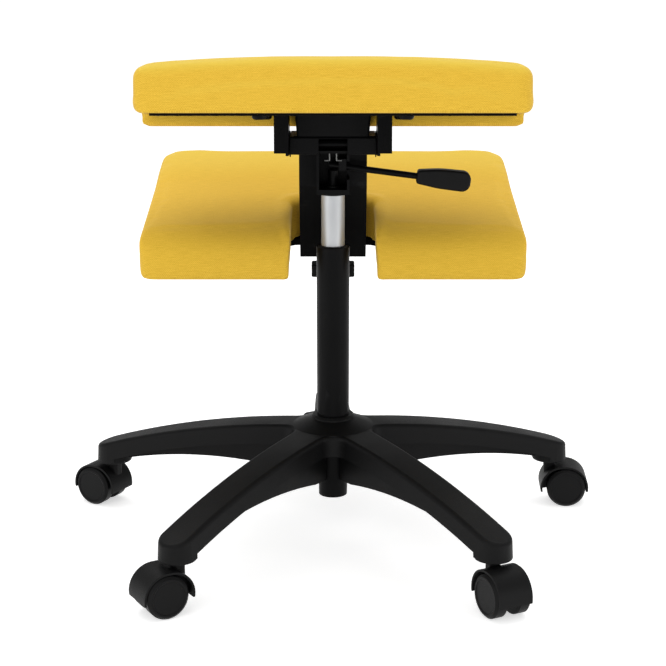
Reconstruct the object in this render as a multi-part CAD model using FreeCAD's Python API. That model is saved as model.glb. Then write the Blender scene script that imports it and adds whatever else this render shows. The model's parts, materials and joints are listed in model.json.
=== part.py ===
import FreeCAD, Part
import math
import os

# Kneeling chair on a five-star base with a gas lift.
# Millimetres. +X is the sitter's right, +Y the way the sitter faces, +Z up.
# The origin is on the floor under the axis of the lift column.

# Casters: twin wheels under a half-round hood
WHEEL_RADIUS = 25.0
WHEEL_WIDTH = 15.5
WHEEL_BEVEL = 3.0
WHEEL_DISC_RADIUS = 19.0
WHEEL_DISC_DEPTH = 0.8
WHEEL_SIDE_CLEARANCE = 0.8
WHEEL_FACE_WALL = 3.2
HOOD_WALL = 2.5
HOOD_CLEARANCE = 1.2
HOOD_WIDTH = 42.0
HOOD_NOSE = 4.5
HOOD_DROP_ANGLE = 10.0
CASTER_WEB = 14.0
CASTER_TRAIL = 22.0
CASTER_CHEEK_RADIUS = 12.0
NECK_LENGTH = 14.0
NECK_GAP = 0.5
AXLE_RADIUS = 4.0
STEM_RADIUS = 5.5
STEM_LENGTH = 46.0
STEM_TOP_GAP = 0.5
# Headings of the casters' trail at rest, one for each arm from the right round to the left
TRAIL_HEADINGS = (-3.0, 120.0, 150.0, 211.0, 296.0)

# Fits
RUNNING_GAP = 0.05
PRESS_GAP = 0.02
BODY_GAP = 0.3

# Five-star base
ARM_COUNT = 5
BASE_TURN = 18.65
SOCKET_CIRCLE_RADIUS = 299.0
SOCKET_FACE_Z = 59.0
TIP_RADIUS = 22.0
ROOT_RADIUS = 27.5
ROOT_CENTRE = 40.0
CROTCH_RADIUS = 14.0
ARM_DRAFT = 3.0
HUB_TOP_Z = 140.5
MID_ARM_RADIUS = 184.0
MID_ARM_TOP_Z = 119.0
TIP_TOP_Z = 79.6
BASE_WALL = 4.0
BASE_EDGE_ROUND = 5.0
# The arched lower edges of the side walls and of the deeper ribs, at the hub, half way and the tip
EDGE_MID_RADIUS = 162.0
WALL_HUB_Z = 113.0
WALL_MID_Z = 100.0
WALL_TIP_Z = 67.5
RIB_HUB_Z = 69.5
RIB_MID_Z = 79.5
RIB_TIP_Z = 62.0
EDGE_TIP_GAP = 8.0
BASE_RIB = 5.0
SOCKET_MARGIN = 0.5
SOCKET_ROUND = 3.0
HUB_SLEEVE_WALL = 7.0
HUB_CONE_RADIUS = 50.0
HUB_CONE_DROP = 2.5
COLLAR_RADIUS = 26.6
COLLAR_FOOT_Z = 147.5
COLLAR_HEIGHT = 4.5
COLLAR_ROUND = 2.2

# Lift column
TUBE_TOP_Z = 363.0
TUBE_TOP_RADIUS = 20.0
TUBE_HUB_RADIUS = 19.7
TUBE_FOOT_RADIUS = 17.6
TUBE_FOOT_Z = 46.4
TUBE_BORE_RADIUS = 16.5
TUBE_LOWER_BORE_RADIUS = 14.7
TUBE_FLOOR = 5.0
BUSH_LENGTH = 65.0
BUSH_RIM = 1.5
CYLINDER_RADIUS = 14.0
CYLINDER_WALL = 2.0
CYLINDER_FOOT_Z = 178.0
CYLINDER_NECK_RADIUS = 10.0
CYLINDER_NECK_HEIGHT = 2.0
CYLINDER_GUIDE = 12.0
ROD_RADIUS = 5.0
ROD_TOP_Z = 326.0
PISTON_HEIGHT = 12.0
BEARING_RADIUS = 11.0
BEARING_HEIGHT = 6.0
CLIP_RADIUS = 9.0
CLIP_HEIGHT = 1.5
CLIP_GROOVE = 1.0
BUTTON_RADIUS = 6.0
BUTTON_DEPTH = 6.0
BUTTON_BEVEL = 1.5
BUTTON_TOP_GAP = 0.3

# Carriage on top of the cylinder
SHEET = 3.0
HOUSING_WIDTH = 39.0
HOUSING_FLOOR_Z = 429.5
HOUSING_FLOOR = 6.0
HOUSING_REAR_Y = -24.0
HOUSING_COLLAR_RADIUS = 17.0
HOUSING_COLLAR_DROP = 2.5
BOX_HALF_WIDTH = 50.0
BOX_FLOOR_Z = 478.0
BOX_TOP_Z = 500.0
BOX_REAR_Y = -30.0
BOX_WINDOW = 34.0
PIVOT_Y = -8.0
PIVOT_Z = 488.0
PIVOT_RADIUS = 5.0
PIVOT_HEAD_RADIUS = 9.0
PIVOT_HEAD = 4.0
PIVOT_NUT = 6.0
WASHER_RADIUS = 15.5
WASHER = 1.2

# Knee arm: a pressed channel with a flat foot under the knee rest
ARM_WIDTH = 82.0
ARM_REAR_Y = 22.0
ARM_TOP_Z = 494.0
ARM_BEND_Z = 432.0
ARM_FLANGE = 24.0
ARM_TOE_FLANGE = 10.0
ARM_CORNER = 8.0
FOOT_HEEL_Y = 68.0
FOOT_LENGTH = 158.0
FOOT_SLOT_START = 112.0
FOOT_SLOT_HALF_WIDTH = 4.6

# Release lever
LEVER_Z = 461.5
LEVER_SLOPE = 7.5
LEVER_RADIUS = 3.8
LEVER_INNER = 5.0
FULCRUM_X = 11.3
FULCRUM_RADIUS = 2.0
FULCRUM_EAR = 2.0
FULCRUM_EAR_HEIGHT = 12.0
FULCRUM_EAR_LENGTH = 4.5
# The grip's side outline, measured along the rod and square to it
GRIP_START = 100.0
GRIP_LENGTH = 64.6
GRIP_DEPTH = 15.0
GRIP_FLARE = 27.0
GRIP_ROOT_ABOVE = 8.0
GRIP_ROOT_BELOW = 8.3
GRIP_FLARE_ABOVE = 12.5
GRIP_END_ABOVE = 13.8
GRIP_BELOW = 11.1
GRIP_ROOT_ROUND = 3.4
GRIP_SWELL = 110.0
GRIP_END_ROUND = 10.0
GRIP_EDGE = 3.0
GRIP_SOCKET = 30.0
LEVER_NOTCH = 11.0
SPRING_WIRE = 1.8
SPRING_HALF = 4.2
SPRING_FOOT = 6.0
SPRING_Y = -13.0
SPRING_Z = 469.0

# Seat, laid out on the underside of its board and then tilted forward
SEAT_PLANE_Z = 520.1
SEAT_TILT = -7.4
SEAT_REAR = -287.0
SEAT_FRONT = 45.5
SEAT_REAR_HALF = 202.5
SEAT_FRONT_HALF = 235.0
SEAT_HEIGHT = 58.5
SEAT_CROWN_FLAT = 110.0
SEAT_CROWN_DROP = 11.0
SEAT_CROWN_RADIUS = 1700.0
SEAT_REAR_CORNER = 15.0
SEAT_FRONT_CORNER = 36.0
SEAT_EDGE = 2.2
SEAT_TOP_ROUND = 12.5
SEAT_FOOT_ROUND = 7.0
SEAT_LIP = 13.0
SEAT_LIP_DEPTH = 30.0
SEAT_LIP_ROUND = 9.0
SEAT_LIP_INSET = 1.0
SEAT_LIP_SIDE = 4.0
SEAT_BOARD = 12.0
SEAT_BOARD_MARGIN = 15.0
EAR_INNER = 51.5
EAR_DROP = 46.0
EAR_REAR = -62.0
EAR_FRONT = 12.0
EAR_FLANGE = 13.5
RAIL_WIDTH = 35.5
RAIL_REAR = -215.0
RAIL_BOLT_X = 80.0
RAIL_BOLT_PITCH = 80.0
RAIL_BOLT_HEAD = 8.2
RAIL_BOLT_HEAD_HEIGHT = 4.4
RAIL_BOLT_RADIUS = 3.0
RAIL_BOLT_GRIP = 9.0
BUFFER_HALF_WIDTH = 44.0
BUFFER_DEPTH = 34.0
BUFFER_REAR = -38.0
BUFFER_HEIGHT = 32.0
BUFFER_TAPER = 2.5
BUFFER_GAP = 1.5

# Knee rest, laid out on the underside of its board and then tilted up towards the front
KNEE_PLANE_Z = 328.6
KNEE_TILT = 10.7
KNEE_REAR = -25.4
KNEE_FRONT = 287.5
KNEE_REAR_HALF = 233.0
KNEE_FRONT_HALF = 230.0
KNEE_HEIGHT = 60.0
KNEE_CROWN_FLAT = 120.0
KNEE_CROWN_DROP = 3.0
KNEE_CROWN_RADIUS = 5000.0
KNEE_REAR_CORNER = 15.0
KNEE_FRONT_CORNER = 30.0
KNEE_REAR_ROUND = 38.0
KNEE_FOOT_ROUND = 5.0
KNEE_FOOT_TUCK = 4.5
KNEE_TOP_ROUND = 16.0
KNEE_TOP_TUCK = 13.0
PAD_STEPS = 4
KNEE_SLOT_HALF = 53.5
KNEE_SLOT_END = 97.0
KNEE_SLOT_CORNER = 16.0
KNEE_SLOT_MOUTH = 10.0
KNEE_BOARD = 8.0
KNEE_BOARD_MARGIN = 9.0
KNEE_BOARD_LEDGE = 6.0
KNEE_PLATE_HALF = 38.0
KNEE_PLATE_REAR = 99.0
KNEE_PLATE_LENGTH = 128.0
KNEE_SCREW_RADIUS = 2.5
KNEE_SCREW_GRIP = 7.0
KNEE_SCREW_INSET = 10.0
STUD_RADIUS = 4.0
STUD_Y = 122.0
HANDLE_HALF = 27.7
HANDLE_HEIGHT = 18.0
HANDLE_DEPTH = 15.0
HANDLE_BEVEL = 1.5
HANDLE_NECK_RADIUS = 10.0
HANDLE_NECK = 30.5

X_AXIS = FreeCAD.Vector(1, 0, 0)
Y_AXIS = FreeCAD.Vector(0, 1, 0)
Z_AXIS = FreeCAD.Vector(0, 0, 1)
ORIGIN = FreeCAD.Vector(0, 0, 0)
# Depth of a cutting tool that passes right through what it cuts
THROUGH = 400.0

# Places that follow from the sizes above
HUB_SLEEVE_RADIUS = TUBE_HUB_RADIUS + HUB_SLEEVE_WALL
HOOD_INNER = WHEEL_RADIUS + HOOD_CLEARANCE
HOOD_OUTER = HOOD_INNER + HOOD_WALL
WHEEL_INNER_X = CASTER_WEB / 2 + WHEEL_SIDE_CLEARANCE
WHEEL_OUTER_X = WHEEL_INNER_X + WHEEL_WIDTH
HOUSING_HALF = HOUSING_WIDTH / 2
CYLINDER_TOP_Z = HOUSING_FLOOR_Z + HOUSING_FLOOR
LEVER_DROP = math.tan(math.radians(LEVER_SLOPE)) * (BUTTON_RADIUS - BUTTON_BEVEL)
LEVER_UNDER = LEVER_RADIUS / math.cos(math.radians(LEVER_SLOPE))
BUTTON_TOP_Z = LEVER_Z - LEVER_DROP - LEVER_UNDER - BUTTON_TOP_GAP
CLIP_Z = TUBE_FOOT_Z - CLIP_HEIGHT - BODY_GAP


def vector(x, y, z):
    """A point or direction in the chair's frame."""
    return FreeCAD.Vector(x, y, z)


def block(x0, x1, y0, y1, z0, z1):
    """A box between two corners."""
    return Part.makeBox(x1 - x0, y1 - y0, z1 - z0, vector(x0, y0, z0))


def rod(radius, start, end):
    """A round bar between two points."""
    along = end - start
    return Part.makeCylinder(radius, along.Length, start, along)


def rounded_wire(points, radii):
    """A closed outline of straight runs whose corners are rounded by the given radii."""
    count = len(points)
    edges = []
    starts = []
    ends = []
    for i in range(count):
        corner = points[i]
        back = (points[i - 1] - corner).normalize()
        ahead = (points[(i + 1) % count] - corner).normalize()
        half = back.getAngle(ahead) / 2
        reach = radii[i] / math.tan(half)
        starts.append(corner + back * reach)
        ends.append(corner + ahead * reach)
    for i in range(count):
        corner = points[i]
        if radii[i] > 0:
            inward = (starts[i] + ends[i] - corner * 2).normalize()
            half = (starts[i] - corner).getAngle(ends[i] - corner) / 2
            middle = corner + inward * (radii[i] / math.sin(half) - radii[i])
            edges.append(Part.Arc(starts[i], middle, ends[i]).toShape())
        edges.append(Part.makeLine(ends[i], starts[(i + 1) % count]))
    return Part.Wire(edges)


def prism(points, radii, along):
    """A solid of a rounded outline pushed along a vector."""
    return Part.Face(rounded_wire(points, radii)).extrude(along)


def turned(profile, axis_point, axis):
    """A solid turned round an axis from a closed list of profile points."""
    face = Part.Face(Part.makePolygon(profile + [profile[0]]))
    return face.revolve(axis_point, axis, 360)


def turned_z(pairs):
    """A solid turned round the column axis from radius and height pairs."""
    return turned([vector(r, 0, z) for r, z in pairs], ORIGIN, Z_AXIS)


def joined(shapes):
    """Several solids as one, with their shared faces cleaned up."""
    return shapes[0].multiFuse(shapes[1:]).removeSplitter()


def tilted(shape, angle, height):
    """A shape laid out flat, tilted about X and raised to its height on the column axis."""
    moved = shape.copy()
    moved.rotate(ORIGIN, X_AXIS, angle)
    moved.translate(vector(0, 0, height))
    return moved


def on_seat(shape):
    """A shape carried from the seat's flat layout to its place."""
    return tilted(shape, SEAT_TILT, SEAT_PLANE_Z)


def on_knee(shape):
    """A shape carried from the knee rest's flat layout to its place."""
    return tilted(shape, KNEE_TILT, KNEE_PLANE_Z)


def mirrored(shape):
    """The same piece on the other side of the chair."""
    return shape.mirror(ORIGIN, X_AXIS)


def arm_angles():
    """Directions of the base's arms, in degrees."""
    return [BASE_TURN + 360.0 / ARM_COUNT * i for i in range(ARM_COUNT)]


def polar(radius, angle, z):
    """A point given by its distance from the column and its direction."""
    a = math.radians(angle)
    return vector(radius * math.cos(a), radius * math.sin(a), z)


def star_wire(shrink, z):
    """Plan outline of the base, drawn in by a given amount, at a height."""
    lean = math.asin((ROOT_RADIUS - TIP_RADIUS) / (SOCKET_CIRCLE_RADIUS - ROOT_CENTRE))
    half_step = math.pi / ARM_COUNT
    side = ROOT_CENTRE * math.sin(lean) + ROOT_RADIUS - shrink
    opening = half_step + lean
    crotch_radius = CROTCH_RADIUS + shrink
    crotch = (ROOT_CENTRE * math.sin(lean) + ROOT_RADIUS + CROTCH_RADIUS) / math.sin(opening)
    tip_radius = TIP_RADIUS - shrink
    edges = []
    previous = None
    first = None
    for angle in arm_angles():
        centre = polar(SOCKET_CIRCLE_RADIUS, angle, z)
        tip_start = centre + polar(tip_radius, angle - 90 + math.degrees(lean), 0)
        tip_middle = centre + polar(tip_radius, angle, 0)
        tip_end = centre + polar(tip_radius, angle + 90 - math.degrees(lean), 0)
        right = angle - math.degrees(half_step)
        right_centre = polar(crotch, right, z)
        inner_middle = polar(crotch - crotch_radius, right, z)
        inner_start = right_centre + polar(crotch_radius, right + 180 + math.degrees(opening) - 90, 0)
        inner_end = right_centre + polar(crotch_radius, right + 180 - math.degrees(opening) + 90, 0)
        if previous is not None:
            edges.append(Part.makeLine(previous, inner_end))
        else:
            first = inner_end
        edges.append(Part.Arc(inner_end, inner_middle, inner_start).toShape())
        edges.append(Part.makeLine(inner_start, tip_start))
        edges.append(Part.Arc(tip_start, tip_middle, tip_end).toShape())
        previous = tip_end
    edges.append(Part.makeLine(previous, first))
    return Part.Wire(edges)


def star_prism(shrink):
    """The base's plan outline raised with drafted sides."""
    drawn_in = (HUB_TOP_Z - SOCKET_FACE_Z) * math.tan(math.radians(ARM_DRAFT))
    lower = star_wire(shrink, SOCKET_FACE_Z)
    upper = star_wire(shrink + drawn_in, HUB_TOP_Z)
    return Part.makeLoft([lower, upper], True, True)


def arc_dome(lowering):
    """The space under the base's arched top, lowered by a wall."""
    reach = SOCKET_CIRCLE_RADIUS + TIP_RADIUS + BASE_WALL
    crown = vector(0, 0, HUB_TOP_Z - lowering)
    middle = vector(MID_ARM_RADIUS, 0, MID_ARM_TOP_Z - lowering)
    rim = vector(reach, 0, TIP_TOP_Z - lowering)
    floor = SOCKET_FACE_Z - BASE_WALL
    edges = [
        Part.Arc(crown, middle, rim).toShape(),
        Part.makeLine(rim, vector(reach, 0, floor)),
        Part.makeLine(vector(reach, 0, floor), vector(0, 0, floor)),
        Part.makeLine(vector(0, 0, floor), crown),
    ]
    return Part.Face(Part.Wire(edges)).revolve(ORIGIN, Z_AXIS, 360)


def below_edge(hub_z, mid_z, tip_z):
    """The space below an arched lower edge that runs from the hub out to the stem sockets."""
    inner = vector(ROOT_CENTRE, 0, hub_z)
    middle = vector(EDGE_MID_RADIUS, 0, mid_z)
    outer = vector(SOCKET_CIRCLE_RADIUS - EDGE_TIP_GAP, 0, tip_z)
    floor = SOCKET_FACE_Z - BASE_WALL
    edges = [
        Part.Arc(inner, middle, outer).toShape(),
        Part.makeLine(outer, vector(outer.x, 0, floor)),
        Part.makeLine(vector(outer.x, 0, floor), vector(0, 0, floor)),
        Part.makeLine(vector(0, 0, floor), vector(0, 0, hub_z)),
        Part.makeLine(vector(0, 0, hub_z), inner),
    ]
    ring = Part.Face(Part.Wire(edges)).revolve(ORIGIN, Z_AXIS, 360)
    return ring.cut(stem_sockets())


def stem_sockets():
    """The round bosses under the tips of the arms."""
    radius = TIP_RADIUS + SOCKET_MARGIN
    return [rod(radius, polar(SOCKET_CIRCLE_RADIUS, a, SOCKET_FACE_Z - BASE_WALL),
                polar(SOCKET_CIRCLE_RADIUS, a, HUB_TOP_Z)) for a in arm_angles()]


def radial_wall(angle, start, end, thickness):
    """An upright wall that runs outwards from the column."""
    wall = block(start, end, -thickness / 2, thickness / 2, SOCKET_FACE_Z, HUB_TOP_Z)
    wall.rotate(ORIGIN, Z_AXIS, angle)
    return wall


def tube_profile(extra):
    """Radius and height pairs of the column tube's outside, grown by a clearance."""
    return [
        (TUBE_FOOT_RADIUS + extra, TUBE_FOOT_Z),
        (TUBE_HUB_RADIUS + extra, HUB_TOP_Z),
        (TUBE_TOP_RADIUS + extra, TUBE_TOP_Z),
    ]


def socket_round():
    """The ring that is cut away to ease the lower edge of a stem socket, in two bevels."""
    radius = TIP_RADIUS + SOCKET_MARGIN
    ease = SOCKET_ROUND * (1 - math.sqrt(0.5))
    low = SOCKET_FACE_Z - BASE_WALL
    high = SOCKET_FACE_Z + SOCKET_ROUND
    return turned_z([(radius - SOCKET_ROUND, low), (radius - SOCKET_ROUND, SOCKET_FACE_Z),
                     (radius - ease, SOCKET_FACE_Z + ease), (radius, high), (radius + BASE_WALL, high),
                     (radius + BASE_WALL, low)])


def hub_collar():
    """The hub's shallow cone and the rounded ring on it, round the column."""
    top = COLLAR_FOOT_Z + COLLAR_HEIGHT
    return turned_z([(0, HUB_TOP_Z - BASE_WALL), (HUB_CONE_RADIUS, HUB_TOP_Z - BASE_WALL),
                     (HUB_CONE_RADIUS, HUB_TOP_Z - HUB_CONE_DROP), (COLLAR_RADIUS, COLLAR_FOOT_Z),
                     (COLLAR_RADIUS, top - COLLAR_ROUND), (COLLAR_RADIUS - COLLAR_ROUND, top), (0, top)])


def base_star():
    """The moulded base: a drafted star under a dome, hollow below, with deep ribs and stem sockets."""
    angles = arm_angles()
    half_step = 180.0 / ARM_COUNT
    outside = star_prism(0).common(arc_dome(0))
    ridge = [e for e in outside.Edges if e.BoundBox.ZMin > SOCKET_FACE_Z + BASE_WALL]
    outside = outside.makeFillet(BASE_EDGE_ROUND, ridge)
    cavity = star_prism(BASE_WALL).common(arc_dome(BASE_WALL))
    shell = outside.cut(cavity)
    walls = [radial_wall(a + half_step, 0, ROOT_CENTRE * 2, BASE_RIB) for a in angles]
    sleeve = rod(HUB_SLEEVE_RADIUS, vector(0, 0, SOCKET_FACE_Z), vector(0, 0, HUB_TOP_Z))
    inner = joined(walls + stem_sockets() + [sleeve]).common(cavity)
    body = joined([shell, inner, hub_collar()]).cut(below_edge(WALL_HUB_Z, WALL_MID_Z, WALL_TIP_Z))
    ribs = joined([radial_wall(a, 0, SOCKET_CIRCLE_RADIUS, BASE_RIB) for a in angles]).common(cavity)
    solid = joined([body, ribs.cut(below_edge(RIB_HUB_Z, RIB_MID_Z, RIB_TIP_Z))])
    cuts = []
    for angle in angles:
        foot = polar(SOCKET_CIRCLE_RADIUS, angle, SOCKET_FACE_Z)
        top = polar(SOCKET_CIRCLE_RADIUS, angle, stem_top() + STEM_TOP_GAP)
        cuts.append(rod(STEM_RADIUS + RUNNING_GAP, foot, top))
        cuts.append(socket_round().translated(polar(SOCKET_CIRCLE_RADIUS, angle, 0)))
    bore = [(0, TUBE_FOOT_Z)] + tube_profile(PRESS_GAP) + [(0, TUBE_TOP_Z)]
    cuts.append(turned_z(bore))
    return solid.cut(cuts)


def stem_top():
    """Height of the top of a caster's stem."""
    return SOCKET_FACE_Z + STEM_LENGTH / 2


def column_tube():
    """The black outer tube of the lift, tapered into the hub, with a floor for the thrust bearing."""
    outer = turned_z([(0, TUBE_FOOT_Z)] + tube_profile(0) + [(0, TUBE_TOP_Z)])
    bore = rod(TUBE_BORE_RADIUS, vector(0, 0, HUB_TOP_Z), vector(0, 0, TUBE_TOP_Z))
    lower = rod(TUBE_LOWER_BORE_RADIUS, vector(0, 0, TUBE_FOOT_Z + TUBE_FLOOR), vector(0, 0, TUBE_TOP_Z))
    hole = rod(ROD_RADIUS + RUNNING_GAP, vector(0, 0, TUBE_FOOT_Z), vector(0, 0, TUBE_TOP_Z))
    return outer.cut([bore, lower, hole])


def column_bush():
    """The guide bush at the top of the tube, with a thin rim over the tube's end."""
    outer = TUBE_BORE_RADIUS - PRESS_GAP
    inner = CYLINDER_RADIUS + RUNNING_GAP
    rim = TUBE_TOP_RADIUS - BUSH_RIM
    return turned_z([(inner, TUBE_TOP_Z - BUSH_LENGTH), (outer, TUBE_TOP_Z - BUSH_LENGTH),
                     (outer, TUBE_TOP_Z), (rim, TUBE_TOP_Z), (rim - BUSH_RIM, TUBE_TOP_Z + BUSH_RIM),
                     (inner, TUBE_TOP_Z + BUSH_RIM)])


def piston_rod():
    """The lift's inner rod, which stands on the tube's floor and ends in a groove for its clip."""
    foot = CLIP_Z - CLIP_HEIGHT
    neck = ROD_RADIUS - CLIP_GROOVE
    return turned_z([(0, foot), (ROD_RADIUS, foot), (ROD_RADIUS, CLIP_Z), (neck, CLIP_Z),
                     (neck, CLIP_Z + CLIP_HEIGHT), (ROD_RADIUS, CLIP_Z + CLIP_HEIGHT),
                     (ROD_RADIUS, ROD_TOP_Z), (0, ROD_TOP_Z)])


def piston_head():
    """The piston that runs inside the gas cylinder, on the rod's top."""
    radius = CYLINDER_RADIUS - CYLINDER_WALL - RUNNING_GAP
    bore = ROD_RADIUS + PRESS_GAP
    foot = ROD_TOP_Z - PISTON_HEIGHT
    cap = ROD_TOP_Z + PRESS_GAP
    return turned_z([(bore, foot), (radius, foot), (radius, ROD_TOP_Z + BODY_GAP),
                     (0, ROD_TOP_Z + BODY_GAP), (0, cap), (bore, cap)])


def thrust_bearing():
    """The bearing ring on the tube's floor that lets the seat swivel."""
    floor = TUBE_FOOT_Z + TUBE_FLOOR + RUNNING_GAP
    bore = ROD_RADIUS + PRESS_GAP
    return turned_z([(bore, floor), (BEARING_RADIUS, floor), (BEARING_RADIUS, floor + BEARING_HEIGHT),
                     (bore, floor + BEARING_HEIGHT)])


def column_clip():
    """The spring clip in the rod's groove under the tube."""
    bore = ROD_RADIUS - CLIP_GROOVE + PRESS_GAP
    low = CLIP_Z + PRESS_GAP
    high = CLIP_Z + CLIP_HEIGHT - PRESS_GAP
    ring = turned_z([(bore, low), (CLIP_RADIUS, low), (CLIP_RADIUS, high), (bore, high)])
    gap = block(-bore, bore, 0, CLIP_RADIUS, low, high)
    return ring.cut(gap)


def gas_cylinder():
    """The bright cylinder that slides in the bush, with its narrow neck seated in the housing."""
    inner = CYLINDER_RADIUS - CYLINDER_WALL
    ceiling = HOUSING_FLOOR_Z - HOUSING_COLLAR_DROP - CYLINDER_WALL * 2
    guide = CYLINDER_FOOT_Z + CYLINDER_GUIDE
    rod_hole = ROD_RADIUS + RUNNING_GAP
    neck_top = CYLINDER_TOP_Z + CYLINDER_NECK_HEIGHT - BODY_GAP
    body = turned_z([(rod_hole, CYLINDER_FOOT_Z), (CYLINDER_RADIUS, CYLINDER_FOOT_Z),
                     (CYLINDER_RADIUS, CYLINDER_TOP_Z), (CYLINDER_NECK_RADIUS, CYLINDER_TOP_Z),
                     (CYLINDER_NECK_RADIUS, neck_top), (0, neck_top), (0, ceiling), (inner, ceiling),
                     (inner, guide), (rod_hole, guide)])
    well = rod(BUTTON_RADIUS + RUNNING_GAP, vector(0, 0, ceiling + CYLINDER_WALL), vector(0, 0, neck_top))
    return body.cut(well)


def valve_button():
    """The release button that stands up in the cylinder's neck, under the lever."""
    foot = CYLINDER_TOP_Z - BUTTON_DEPTH
    shoulder = BUTTON_RADIUS - BUTTON_BEVEL
    return turned_z([(0, foot), (BUTTON_RADIUS, foot), (BUTTON_RADIUS, BUTTON_TOP_Z - BUTTON_BEVEL),
                     (shoulder, BUTTON_TOP_Z), (0, BUTTON_TOP_Z)])


def lift_housing():
    """The open-backed channel that sits on the cylinder, with a collar under its floor."""
    floor = block(-HOUSING_HALF, HOUSING_HALF, HOUSING_REAR_Y, ARM_REAR_Y,
                  HOUSING_FLOOR_Z, HOUSING_FLOOR_Z + HOUSING_FLOOR)
    cheeks = [block(x, x + SHEET, HOUSING_REAR_Y, ARM_REAR_Y, HOUSING_FLOOR_Z, BOX_FLOOR_Z)
              for x in (-HOUSING_HALF, HOUSING_HALF - SHEET)]
    back = block(-HOUSING_HALF, HOUSING_HALF, ARM_REAR_Y - SHEET, ARM_REAR_Y, HOUSING_FLOOR_Z, BOX_FLOOR_Z)
    collar = rod(HOUSING_COLLAR_RADIUS, vector(0, 0, HOUSING_FLOOR_Z - HOUSING_COLLAR_DROP),
                 vector(0, 0, HOUSING_FLOOR_Z))
    seat = rod(CYLINDER_RADIUS + PRESS_GAP, vector(0, 0, HOUSING_FLOOR_Z - THROUGH),
               vector(0, 0, CYLINDER_TOP_Z))
    notch_z = LEVER_Z - math.tan(math.radians(LEVER_SLOPE)) * HOUSING_HALF
    notch = block(0, HOUSING_HALF, HOUSING_REAR_Y, LEVER_NOTCH, notch_z - LEVER_NOTCH,
                  notch_z + LEVER_NOTCH)
    return joined([floor, back, collar] + cheeks).cut([seat, notch])


def cross_box():
    """The square tube across the top of the carriage, open at the middle of its rear wall."""
    outer = block(-BOX_HALF_WIDTH, BOX_HALF_WIDTH, BOX_REAR_Y, ARM_REAR_Y, BOX_FLOOR_Z, BOX_TOP_Z)
    long_edges = [e for e in outer.Edges if e.Length > BOX_HALF_WIDTH * 2 - 1]
    outer = outer.makeFillet(SHEET, long_edges)
    inner = block(-BOX_HALF_WIDTH, BOX_HALF_WIDTH, BOX_REAR_Y + SHEET, ARM_REAR_Y - SHEET,
                  BOX_FLOOR_Z + SHEET, BOX_TOP_Z - SHEET)
    ends = [block(x, x + SHEET, BOX_REAR_Y + SHEET, ARM_REAR_Y - SHEET, BOX_FLOOR_Z + SHEET,
                  BOX_TOP_Z - SHEET)
            for x in (-BOX_HALF_WIDTH, BOX_HALF_WIDTH - SHEET)]
    window = block(-BOX_WINDOW / 2, BOX_WINDOW / 2, BOX_REAR_Y, BOX_REAR_Y + SHEET * 4,
                   BOX_FLOOR_Z, BOX_TOP_Z - SHEET)
    hole = rod(PIVOT_RADIUS + PRESS_GAP, vector(-THROUGH, PIVOT_Y, PIVOT_Z),
               vector(THROUGH, PIVOT_Y, PIVOT_Z))
    return joined([outer.cut(inner)] + ends).cut([window, hole])


def knee_foot_line():
    """Points of the arm's rear face seen from the side: top, bend and heel."""
    plane = math.tan(math.radians(KNEE_TILT))
    heel_z = KNEE_PLANE_Z + plane * FOOT_HEEL_Y - (SHEET * 2 + BODY_GAP) / math.cos(math.radians(KNEE_TILT))
    return [vector(0, ARM_REAR_Y, ARM_TOP_Z), vector(0, ARM_REAR_Y, ARM_BEND_Z),
            vector(0, FOOT_HEEL_Y, heel_z)]


def knee_arm():
    """The pressed channel that carries the knee rest: a back, two side flanges and a slotted foot."""
    top, bend, heel = knee_foot_line()
    half = ARM_WIDTH / 2
    run = (heel - bend).normalize()
    ahead = vector(0, -run.z, run.y)
    foot_way = vector(0, math.cos(math.radians(KNEE_TILT)), math.sin(math.radians(KNEE_TILT)))
    foot_up = vector(0, -foot_way.z, foot_way.y)
    toe = heel + foot_way * FOOT_LENGTH
    web_front = [top + Y_AXIS * SHEET, bend + Y_AXIS * SHEET, heel + ahead * SHEET]
    web = prism([p - X_AXIS * half for p in [top, bend, heel] + web_front[::-1]], [0] * 6,
                X_AXIS * ARM_WIDTH)
    lips = [top + Y_AXIS * ARM_FLANGE, bend + Y_AXIS * ARM_FLANGE, heel + ahead * ARM_TOE_FLANGE]
    side = prism([p - X_AXIS * half for p in [top, bend, heel] + lips[::-1]],
                 [0, 0, 0, ARM_CORNER / 2, ARM_FLANGE, ARM_CORNER], X_AXIS * SHEET)
    other = side.translated(X_AXIS * (ARM_WIDTH - SHEET))
    sole = prism([p - X_AXIS * half for p in
                  [heel, toe, toe + foot_up * SHEET, heel + foot_up * SHEET]], [0] * 4, X_AXIS * ARM_WIDTH)
    corners = [e for e in sole.Edges if abs(e.Length - SHEET) < BODY_GAP
               and e.CenterOfMass.y > toe.y - SHEET]
    sole = sole.makeFillet(ARM_CORNER, corners)
    slot_end = FOOT_LENGTH + FOOT_HEEL_Y
    slot = prism([vector(-FOOT_SLOT_HALF_WIDTH, FOOT_SLOT_START, -SHEET * 4),
                  vector(FOOT_SLOT_HALF_WIDTH, FOOT_SLOT_START, -SHEET * 4),
                  vector(FOOT_SLOT_HALF_WIDTH, slot_end - ARM_FLANGE, -SHEET * 4),
                  vector(-FOOT_SLOT_HALF_WIDTH, slot_end - ARM_FLANGE, -SHEET * 4)],
                 [STUD_RADIUS] * 4, Z_AXIS * SHEET * 5)
    return joined([web, side, other, sole]).cut(on_knee(slot))


def pivot_reach():
    """How far the pivot pin's head and nut stand from the middle."""
    return EAR_INNER + SHEET + BODY_GAP


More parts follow.
